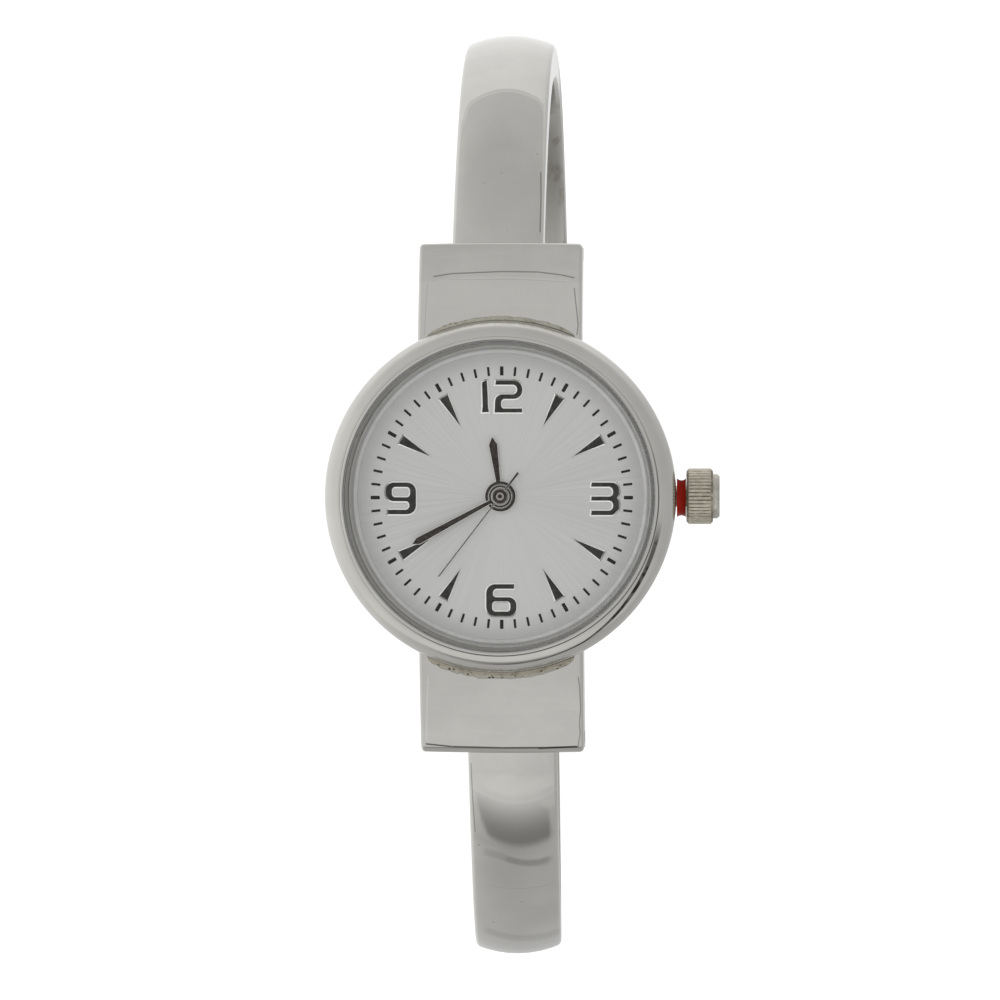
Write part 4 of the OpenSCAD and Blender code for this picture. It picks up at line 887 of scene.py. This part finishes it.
def dullSolder():
    f = Finish("dullSolder")
    lumps = f.grain(0.35, 5, 0.65)
    fine = f.grain(0.07, 3, 0.65)
    stain = f.grain(0.8, 4, 0.7).step(0.5, 0.66)
    low = 1.0 - f.y.step(-1.0, 1.0)
    light = f.mix(low, (0.62, 0.60, 0.53, 1), (0.56, 0.525, 0.44, 1))
    colour = f.mix(fine.step(0.3, 0.7), f.mix(low, (0.42, 0.40, 0.33, 1), (0.42, 0.38, 0.30, 1)), light)
    colour = f.mix(stain * 0.5, colour, (0.20, 0.165, 0.105, 1))
    away = f.fromAxis()
    # a painted shadow: the solder is darkened along the case's edge
    colour = f.mix((1.0 - away.step(12.53, 12.62)) * 0.85, colour, (0.03, 0.03, 0.025, 1))
    # thin towards its edge, where the plating shows, with dark specks, most of them at the left below
    thin = (away + 0.5 * f.grain(0.3, 4, 0.7)).step(13.0, 13.3)
    colour = f.mix(thin * 0.7, colour, (0.60, 0.59, 0.55, 1))
    pits = 1.0 - f.cells(0.34).step(0.22, 0.36)
    left = low * (1.0 - f.x.step(-3.6, -2.4))
    where = away.step(12.66, 12.8) * (f.grain(1.1, 2, 0.5) + 0.2 * left).step(0.42, 0.6)
    colour = f.mix(pits * where, colour, (0.05, 0.04, 0.025, 1))
    return f.surface(colour, 0.44 + 0.2 * fine, f.bump(lumps * 0.5 + 0.5 * fine, 0.04), 0.8)


solderGrey = dullSolder()


def solderSeam(name, seed, width):
    # a fillet in the corner between the block's top and the case's flank
    s, top = solderForm, blockForm["topRadius"]
    across, around = 150, 9
    points = []
    for i in range(across + 1):
        x = s["half"] * (2 * i / across - 1)
        fade = math.sqrt(max(0.0, 1 - (abs(x) / s["half"]) ** 8))
        rough = noise.noise(Vector((x * 1.7, seed, 0))) + 0.4 * noise.noise(Vector((x * 5.0, seed, 4)))
        foot = width * (0.25 + 0.75 * fade) * (1 + 0.2 * rough)
        edge = math.sqrt(caseForm["radius"] ** 2 - x ** 2)
        for j in range(around + 1):
            share = j / around
            y = edge + foot * (1 - share)
            z = arcHeight(top, y)
            swell = s["climb"] * (share ** 2) * (0.5 + 0.5 * fade) + 0.1 * min(share * 5, 1)
            lump = s["lump"] * noise.noise(Vector((x * 3.1, y * 3.1, seed))) * min(share * 4, 1) * fade
            points.append((x, y - (0.06 if j == around else 0), z + swell + lump * (1 - share * 0.5)))
        points.append((x, edge - 0.06, arcHeight(top, edge) - 0.12))
        points.append((x, edge + foot, arcHeight(top, edge + foot) - 0.06))
    return putMesh(name, points, skin(around + 3, across))


for seed, (end, form) in enumerate(ends.items()):
    turn = form["turn"]
    seam = turned(solderSeam(end + "Solder", 3.7 + 5 * seed, solderForm["foot"][end]), turn)
    seat(smooth(seam, 60), [solderGrey], "case", end + "_solder")
    pinOutline = rod(blockForm["pinRadius"], -blockForm["pinHalf"], blockForm["pinHalf"])
    pin = lathe(end + "HingePin", rounded(pinOutline, [0, 0.08, 0.08, 0], 3), 48, *onPin)
    seat(smooth(turned(pin, turn), 40), [plain["satinSteel"]], "case", end + "_hinge_pin")
print("blocks made")


# arms

armForm = {"Width": 6.55, "Thickness": 3.3, "Dome": 8.0, "Edge": 0.3, "Top Radius": 40.043,
           "Side Radius": 21.0, "Root Angle": 63.05, "Join Angle": 43.2297, "Tip Angle": 72.564,
           "Stations": 220}


def armSweep(name, finish, form):
    # the oval's three arcs as one path, and a domed section with rounded edges along it
    tree = Recipe("armSweep", dict(armForm, Width=form["width"]))
    degrees = math.pi / 180
    top, side = tree["Top Radius"], tree["Side Radius"]
    root, join, tip = (tree[arc + " Angle"] * degrees for arc in ("Root", "Join", "Tip"))
    first, second, last = (root - join) * top, 2.0 * join * side, (tip - join) * top
    along = tree.geo("InputIndex") * (first + second + last) / (tree["Stations"] - 1.0)
    a = root - along.least(first) / top
    b = join - (along - first).most(0.0).least(second) / side
    d = -join - (along - first - second).most(0.0) / top
    y = top * a.cos() + side * (b.cos() - join.cos()) + top * (d.cos() - join.cos())
    z = top * a.sin() + side * (b.sin() - join.sin()) + top * (d.sin() + join.sin()) + blockForm["arcZ"]
    path = tree.row(tree["Stations"])
    stored = {"Geometry": path, "Name": "along", "Value": along / (first + second + last)}
    path = tree.geo("StoreNamedAttribute", stored)
    path = tree.moved(path, tree.joined(0.0, y, z))
    section = tree.geo("CurvePrimitiveQuadrilateral", {"Width": tree["Width"], "Height": tree["Thickness"]})
    section = tree.geo("SubdivideCurve", {"Curve": section, "Cuts": 7})
    section = tree.softened(section, 5, tree["Edge"])
    sx, sy = tree.split(tree.geo("InputPosition"))[:2]
    dome = tree["Dome"]
    drop = dome - (dome * dome - sx * sx).maths("SQRT")
    half = tree["Thickness"] / 2.0
    sy = half - sy + drop * (sy / half * 0.5 + 0.5).step(0.25, 0.75)
    section = tree.moved(section, tree.joined(sx, sy, 0.0))
    swept = tree.swept(path, section)
    # the tip is a half round, seen square on
    reach = tree["Width"] / 2.0
    share = tree.geo("InputNamedAttribute", {"Name": "along"})
    past = ((share - 1.0) * (first + second + last) + reach).most(0.0) / reach
    narrow = (1.0 - (past * past).least(0.995)).maths("SQRT")
    px, py, pz = tree.split(tree.geo("InputPosition"))
    swept = tree.moved(swept, tree.joined(px * narrow, py, pz))
    return tree.grow(name, swept, finish)


def armSolid(name, finish, form):
    b, s, k = blockForm, springForm, knuckleForm
    pinY, pinZ = b["pinY"], b["pinZ"]
    hinge = moveBy(0, pinY, pinZ)
    arm = armSweep(name, finish, form)
    facesOut(arm)
    for vertex in arm.data.vertices:
        x, y, z = vertex.co / mm
        vertex.co.y += form["reach"] * mm * min(1.0, max(0.0, (y - 20) / 8, (-z - 6) / 6))
    turned(arm, hinge @ turnBy(form["swing"], "Z") @ turnBy(-form["lean"], "Y") @ hinge.inverted())
    half, dome, knuckle = form["width"] / 2, armForm["Dome"], armForm["Thickness"] / 2 - k["slack"]
    stations = [half * (i / 12 - 1) for i in range(25)]
    drum = [(knuckle - dome + math.sqrt(dome ** 2 - x ** 2), x) for x in stations]
    carve(arm, lathe("drum", [(0, -half)] + drum + [(0, half)], 96, *onPin), "UNION")
    for middle in (-k["heelX"], k["heelX"]):
        low = (middle - k["heelHalf"], pinY - k["heelBack"], pinZ + k["heelLow"])
        heel = box("heel", low, (middle + k["heelHalf"], pinY, pinZ + knuckle))
        carve(arm, heel, "UNION")
    carve(arm, lathe("bore", rod(b["pinRadius"] + k["boreSlack"], -5, 5), 48, *onPin))
    # room for the spring, closed outside by the arm's skin
    wide = k["roomHalf"]
    carve(arm, lathe("room", rod(k["room"], -wide, wide), 96, *onPin))
    carve(arm, box("room", (-wide, pinY - 20, pinZ - 10), (wide, pinY, pinZ + 10)))
    leg = lathe("leg", rod(k["legHole"], 0, s["Arm Leg"] + 0.2), 24)
    turned(leg, hinge @ moveBy(-s["Half Length"], 0, 0) @ turnBy(-s["Slope"], "X")
           @ moveBy(0, 0, s["Coil Radius"]) @ turnBy(-90, "X"))
    return carve(arm, leg)


def bowed(left, right, middle, sag, count=9):
    # points along a shallow bow across an arm or a block
    return [(left + (right - left) * i / (count - 1),
             middle + sag * (2 * i / (count - 1) - 1) ** 2) for i in range(count)]


# painted reflections and painted highlights on the arms: dark lines and streaks where they reflect dark
# things, and a pale bowed line
armReflectionLines = {"upper": [([(2.60, 23.5), (2.66, 21.5), (2.64, 19.0)], 0.07, 0.6, lineDark)],
            "lower": [(bowed(-2.4, 4.1, -22.25, 1.25), 0.20, 0.12, linePale),
                      ([(-1.55, -26.02), (-0.88, -26.17), (-0.22, -26.39), (0.44, -26.65), (1.10, -26.83),
                        (1.77, -26.9), (2.43, -26.87), (3.09, -26.72)], 0.42, 0.24, lineGrey),
                      ([(0.0, -26.55), (1.10, -26.84), (1.77, -26.88), (2.43, -26.80), (3.25, -26.5)], 0.30,
                       0.30, lineGrey), (bowed(-1.6, 3.3, -28.9, 0.35), 0.05, 0.10, lineDark),
                      (bowed(-1.9, 4.2, -33.1, 0.75), 0.42, 0.34, (0.3, 0.298, 0.285, 1)),
                      ([(-2.35, -19.3), (-2.3, -22.0), (-2.2, -24.5)], 0.05, 0.6, lineDark),
                      ([(4.05, -19.3), (4.02, -24.8)], 0.05, 0.55, lineDark)]}


def armSheen(lines, pits):
    def change(f, colour, rough, height):
        # shallow polished-over pits, and a few small dark ones
        dents = (1.0 - f.cells(3.4).step(0.0, 0.34)) * pits
        holes = 1.0 - f.cells(2.1).step(0.03, 0.06)
        colour = f.mix(holes * 0.6 * pits, colour, lineDark)
        # the far side, seen past the arm, is duller and stained
        low = 1.0 - f.z.step(-32.0, -24.0)
        stain = f.grain(2.2, 3, 0.6, (1, 0.35, 1)).step(0.5, 0.72)
        # the strokes are painted reflections and highlights
        withPaintedReflections = strokes(f, colour, lines)
        colour = f.mix(low, withPaintedReflections, f.mix(stain * 0.8, (0.50, 0.488, 0.455, 1), (0.20, 0.165, 0.11, 1)))
        return colour, rough + low * 0.25, height - dents * 0.02
    return change


armLooks = {"upper": {"waves": 0.012, "waveSize": 7.0, "rough": 0.015, "drift": 0.3, "specks": 0.1},
            "lower": {"waves": 0.05, "waveSize": 6.0, "rough": 0.02, "drift": 0.4, "specks": 0.1}}
armPits = {"upper": 0.3, "lower": 0.6}
for end, form in ends.items():
    silver = platedMetal(end + "ArmSilver", armLooks[end], armSheen(armReflectionLines[end], armPits[end]))
    arm = armSolid(end + "Arm", silver, form)
    turned(arm, form["turn"] @ moveBy(form["shift"] + form["aside"], 0, 0))
    seat(smooth(arm, 30), [silver], end + "_arm", end + "_arm")


def hingeSpring(name):
    # a leg in the arm, the coil round the pin and a leg in the block
    tree = Recipe("hingeSpring", springForm)
    slope = tree["Slope"] * (math.pi / 180)
    radius, start = tree["Coil Radius"], math.pi / 2 - slope
    legOne, legTwo, turns = tree["Arm Leg"], tree["Block Leg"], tree["Turns"]
    coil = turns * radius * 2.0 * math.pi
    along = tree.geo("InputIndex") * (legOne + coil + legTwo) / (tree["Points"] - 1.0)
    leg = legOne - along.least(legOne)
    turn = (along - legOne).most(0.0).least(coil) / coil
    angle = start + turn * turns * 2.0 * math.pi
    x = tree["Half Length"] * (2.0 * turn - 1.0)
    y = radius * angle.cos() + leg * slope.cos() - (along - legOne - coil).most(0.0) + blockForm["pinY"]
    z = radius * angle.sin() - leg * slope.sin() + blockForm["pinZ"]
    path = tree.moved(tree.row(tree["Points"]), tree.joined(x, y, z))
    return tree.grow(name, tree.swept(path, tree.circle(12, tree["Wire Radius"])), plain["satinSteel"])


for end, form in ends.items():
    turn, shift = form["turn"], form["shift"]
    spring = facesOut(hingeSpring(end + "HingeSpring"))
    smooth(turned(spring, turn @ moveBy(shift, 0, 0)), 50)
    onAxis = [Vector((shift + x, blockForm["pinY"], blockForm["pinZ"])) * mm for x in (-1.6, 1.6)]
    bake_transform(spring)
    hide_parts(end + "_hinge_spring")
    nodeSlots[end + "_hinge_spring"]
print("arms made")


# dial

def sunrayDial():
    f = Finish("sunrayDial")
    flat = f.joined(f.x, f.y, 0.0)
    away = f.vector("LENGTH", flat, output=1)
    way = f.vector("NORMALIZE", flat)
    rays = f.grain(0.02, 2, 0.6, (1, 1, 1), f.vector("ADD", way, f.joined(0.0, 0.0, away * 0.002)))
    broad = f.grain(0.5, 1, 0.5, (1, 1, 1), way)
    wy = f.split(way)[1]
    colour = f.mix(rays.step(0.25, 0.75), (0.665, 0.662, 0.648, 1), (0.755, 0.752, 0.738, 1))
    # brighter towards twelve and six, a painted sheen of the rays, and in broad random patches
    colour = f.mix(wy * wy * 0.5 + broad * 0.3, colour, (0.775, 0.775, 0.76, 1))
    # darker towards the rim: painted shade under the surround
    colour = f.mix(away.step(8.6, 10.2) * 0.4, colour, (0.42, 0.42, 0.41, 1))
    return f.surface(colour, 0.34 + 0.1 * rays, f.bump(rays, 0.0012), 0.85)


dressNode("dial", sunrayDial())


def blackInk():
    f = Finish("blackInk")
    patch = f.grain(0.12, 3, 0.6)
    return f.surface(f.mix(patch, grey(0.004), grey(0.012)), 0.4 + 0.2 * patch, f.bump(patch, 0.002))


# the dial's print and its applied parts stand a little off the hands' axis
printOff = (0.08, -0.09)
trackForm = {"Outer Radius": 9.35, "Tick Length": 0.65, "Tick Width": 0.17, "Bold Width": 0.25,
             "Height": 4.45, "Ink": 0.02, "Corner": 0.035, "Count": 60}


def dialRing(tree, radius, height):
    # places round the dial, each turned with its hour or minute
    index = tree.geo("InputIndex")
    turn = index * (2 * math.pi) / tree["Count"]
    at = tree.joined(radius * turn.sin() + printOff[0], radius * turn.cos() + printOff[1], height)
    points = tree.geo("Points", {"Count": tree["Count"], "Position": at})
    return index, {"Points": points, "Rotation": tree.joined(0.0, 0.0, -turn)}


def minuteTrack(finish):
    tree = Recipe("minuteTrack", trackForm)
    index, places = dialRing(tree, tree["Outer Radius"] - tree["Tick Length"] / 2.0, tree["Height"])
    tick = tree.geo("CurvePrimitiveQuadrilateral",
                    {"Width": tree["Tick Width"], "Height": tree["Tick Length"]})
    tick = tree.geo("FillCurve", [tree.softened(tick, 3, tree["Corner"])])
    tick = tree.geo("ExtrudeMesh", {"Mesh": tick, "Offset Scale": tree["Ink"], "Individual": False})
    bold = 1.0 - index.maths("MODULO", 5.0).above(0.5)
    stretch = 1.0 + bold * (tree["Bold Width"] / tree["Tick Width"] - 1.0)
    ticks = tree.geo("InstanceOnPoints",
                     {**places, "Instance": tick, "Scale": tree.joined(stretch, 1.0, 1.0)})
    return tree.grow("minuteTrack", ticks, finish)


seat(smooth(minuteTrack(blackInk()), 40), [], "case", "minute_track")

appliedForm = {"top": 4.6, "chamfer": 0.05, "flare": 0.10, "dark": (0.058, 0.058, 0.053)}


def appliedDark():
    f = Finish("appliedDark")
    cloud = f.grain(0.5, 4, 0.65)
    brush = f.grain(0.04, 2, 0.6, (0.15, 1, 1))
    tone = f.mix(cloud.step(0.3, 0.7), shade(appliedForm["dark"], 0.75), shade(appliedForm["dark"], 1.3))
    return f.surface(tone, 0.28 + 0.1 * brush, f.bump(brush, 0.0006), 0.85)


faceDark = appliedDark()
rimBright = platedMetal("appliedRim", {"tint": (0.92, 0.92, 0.89), "waves": 0.0, "rough": 0.14})


def brightChamfer(piece):
    # everything below the chamfer's lower line moves out, so the rim shows round the face from above
    low = (appliedForm["top"] - appliedForm["chamfer"]) * mm

    def change(form):
        whole = form.verts[:] + form.edges[:] + form.faces[:]
        bmesh.ops.bisect_plane(form, geom=whole, dist=1e-8, plane_co=(0, 0, low), plane_no=(0, 0, 1))
        form.normal_update()
        moves = {}
        for vertex in form.verts:
            sides = []
            for face in vertex.link_faces:
                n = face.normal
                if abs(n.z) < 0.3 and not any((n - other).length < 1e-3 for other in sides):
                    sides.append(n.copy())
            if vertex.co.z < low + 1e-7 and sides:
                way = sum(sides, Vector())
                way.z = 0
                way.normalize()
                moves[vertex] = way * appliedForm["flare"] * mm / max(way.dot(sides[0]), 0.4)
        for vertex, move in moves.items():
            vertex.co += move
        form.normal_update()
        for face in form.faces:
            face.material_index = 0 if face.normal.z > 0.97 else 1
    editMesh(piece, change)
    return piece


for hour in (12, 3, 6, 9):
    node = "numeral_%d" % hour
    numeral = brightChamfer(solidCopy(node, "numeral%d" % hour))
    seat(smooth(numeral, 25), [faceDark, rimBright], "case", node)

markerForm = {"Wide End": 8.25, "Count": 12}
markerSize = (0.66, 2.35, 0.15)


def hourMarkers(finish):
    width, length, high = markerSize
    corners = ((-width / 2, 0), (width / 2, 0), (0, -length))
    wedge = [(x, y, z) for z in (0, high) for x, y in corners]
    marker = putMesh("marker", wedge, [(0, 1, 2), (5, 4, 3), (0, 3, 4, 1), (1, 4, 5, 2), (2, 5, 3, 0)], 1.0)
    tree = Recipe("hourMarkers", dict(markerForm, Marker=marker))
    index, places = dialRing(tree, tree["Wide End"], appliedForm["top"] - high)
    given = tree.geo("ObjectInfo", {"Object": tree["Marker"]}, output="Geometry")
    # none at the four numerals
    chosen = index.maths("MODULO", 3.0).above(0.5)
    ring = tree.geo("InstanceOnPoints", {**places, "Selection": chosen, "Instance": given})
    grown = tree.grow("hourMarkers", ring, finish)
    bpy.data.objects.remove(marker)
    return grown


markers = brightChamfer(hourMarkers(faceDark))
seat(smooth(markers, 25), [faceDark, rimBright], "case", "hour_markers")
print("dial made")


# hands

# each hand's body, its bevel and its hub's rings of painted highlight as (radius, half width, share)
handForm = {
    "hour_hand": ("hours", 0.035, [(0.88, 0.045, 0.7)]),
    "minute_hand": ("minutes", 0.035, [(0.615, 0.075, 1.0)]),
    "second_hand": ("seconds", 0.03, [(0.235, 0.055, 0.95)]),
}


def handMetal(name, hub):
    # dark brown-grey with a paler grain along the middle, and pale rings on the hub, painted highlights of
    # its polished rims
    f = Finish(name)
    away = f.fromAxis()
    cloud = f.grain(0.35, 4, 0.65)
    fine = f.grain(0.07, 3, 0.7)
    tone = f.mix(cloud.step(0.3, 0.7), (0.036, 0.031, 0.028, 1), (0.085, 0.075, 0.068, 1))
    tone = f.mix(fine.step(0.55, 0.8) * 0.5, tone, (0.17, 0.155, 0.14, 1))
    for radius, half, share in hub:
        tone = f.mix(away.band(radius, half) * share, tone, (0.62, 0.61, 0.58, 1))
    return f.surface(tone, 0.3 + 0.14 * cloud, f.bump(fine, 0.0012), 0.85)


for node, (body, bevel, rings) in handForm.items():
    name = node.replace("_h", "H")
    metal = handMetal(name, rings)
    hand = solidCopy(node, name)
    for material in (metal, rimBright):
        hand.data.materials.append(material)
    softenEdges(hand, bevel, rim=1)
    seat(smooth(hand, 30), [metal, rimBright], body, node)
print("hands made")


# crown, clip and coil

crownForm = {"Flutes": 46, "Grip Radius": 1.99, "Flute Depth": 0.06, "Length": 1.9, "Chamfer": 0.18,
             "Stations": 40}
crownX, crownZ = 13.22, caseForm["crownZ"]


def wornNickel(name, tint, dirt):
    f = Finish(name)
    fromAxis = f.vector("LENGTH", f.joined(0.0, f.y, f.z - crownZ), output=1)
    # dirt lies in the grooves and on their flanks
    groove = (1.0 - fromAxis.step(1.935, 1.985)) * fromAxis.step(1.5, 1.7)
    grime = groove * dirt * f.grain(0.5, 2, 0.6).step(0.25, 0.6)
    worn = f.grain(0.4, 4, 0.65)
    colour = f.mix(worn.step(0.35, 0.7), shade(tint, 0.85), shade(tint, 1.15))
    colour = f.mix(grime, colour, (0.13, 0.115, 0.08, 1))
    return f.surface(colour, 0.26 + 0.2 * worn + 0.2 * grime, f.bump(worn, 0.01), 1.0 - 0.4 * grime)


crownNickel = wornNickel("crownNickel", (0.56, 0.52, 0.43), 0.8)
capNickel = wornNickel("crownCap", (0.52, 0.50, 0.45), 0.0)


def crownGrip(finish):
    tree = Recipe("crownGrip", crownForm)
    radius, depth, length = tree["Grip Radius"], tree["Flute Depth"], tree["Length"]
    chamfer = tree["Chamfer"]
    path = tree.row(tree["Stations"])
    # the stations crowd towards both ends, where the chamfers are
    share = tree.geo("InputIndex") / (tree["Stations"] - 1.0)
    share = 0.5 - (share * math.pi).cos() * 0.5
    path = tree.moved(path, tree.joined(0.0, 0.0, share * length))
    tube = tree.swept(path, tree.circle(crownForm["Flutes"] * 10, 1.0))
    px, py, pz = tree.split(tree.geo("InputPosition"))
    angle = py.maths("ARCTAN2", px)
    place = angle * tree["Flutes"] / (2 * math.pi)
    ridge = (place - place.maths("ROUND")).maths("ABSOLUTE")
    grip = radius - depth * (1.0 - ridge.step(0.04, 0.24))
    cone = radius - chamfer + pz.least(length - pz).least(chamfer)
    size = grip.least(cone)
    tube = tree.moved(tube, tree.joined(px * size, py * size, pz))
    laid = tree.laid(tube, (crownX, 0.0, crownZ))
    return facesOut(tree.grow("crown", laid, finish))


crown = crownGrip(crownNickel)
crown.data.materials.append(capNickel)
capEnd = crownX + crownForm["Length"]
# the post has a groove for its gasket
postOutline = [(0, 12.0), (0.75, 12.0), (0.75, 12.11), (0.61, 12.11), (0.61, 12.29), (0.75, 12.29),
               (0.75, crownX + 0.3), (0, crownX + 0.3)]
capOutline = [(0, capEnd - 0.3), (1.59, capEnd - 0.3), (1.59, capEnd + 0.28), (1.44, capEnd + 0.47),
              (0, capEnd + 0.47)]
carve(crown, lathe("post", postOutline, 64, *onStem), "UNION")
carve(crown, lathe("cap", rounded(capOutline, [0, 0, 0.05, 0.08, 0], 4), 120, *onStem), "UNION")
carve(crown, lathe("bore", rod(0.46, 11.5, 13.1), 48, *onStem))
for face in crown.data.polygons:
    face.material_index = 1 if face.center.x > (capEnd + 0.005) * mm else 0
seat(smooth(crown, 30), [crownNickel, capNickel], "crown", "crown")


def redPlastic():
    f = Finish("redPlastic")
    cloud = f.grain(0.7, 3, 0.6)
    colour = f.mix(cloud, (0.31, 0.008, 0.001, 1), (0.47, 0.014, 0.001, 1))
    return f.surface(colour, 0.22 + 0.1 * cloud, f.bump(cloud, 0.006), more={"Specular IOR Level": 0.12})


clip = softenEdges(solidCopy("spacer_clip", "spacerClip"), 0.04)
seat(smooth(clip, 35), [redPlastic()], "clip", "spacer_clip")

windingForm = {"Turns": 84.0, "Length": 5.1, "Coil Radius": 0.79, "Wire": 0.034}
windingPlace = (-3.55, 6.8, 2.135)


def coilWinding(finish):
    tree = Recipe("coilWinding", windingForm)
    spiral = tree.geo("CurveSpiral", {
        "Resolution": 14, "Rotations": tree["Turns"], "Start Radius": tree["Coil Radius"],
        "End Radius": tree["Coil Radius"], "Height": tree["Length"]})
    tube = tree.swept(spiral, tree.circle(5, tree["Wire"]))
    return tree.grow("coilWire", tree.laid(tube, windingPlace), finish)


bobbin = softenEdges(solidCopy("coil_winding", "coilBobbin"), 0.03)
seat(smooth(bobbin, 30), [plain["bobbinBlack"]], "case", "coil_winding")
coil = facesOut(coilWinding(plain["copperEnamel"]))
seat(smooth(coil, 60), [], "case")
nodeSlots["coil_winding"]
print("crown, clip and coil made")
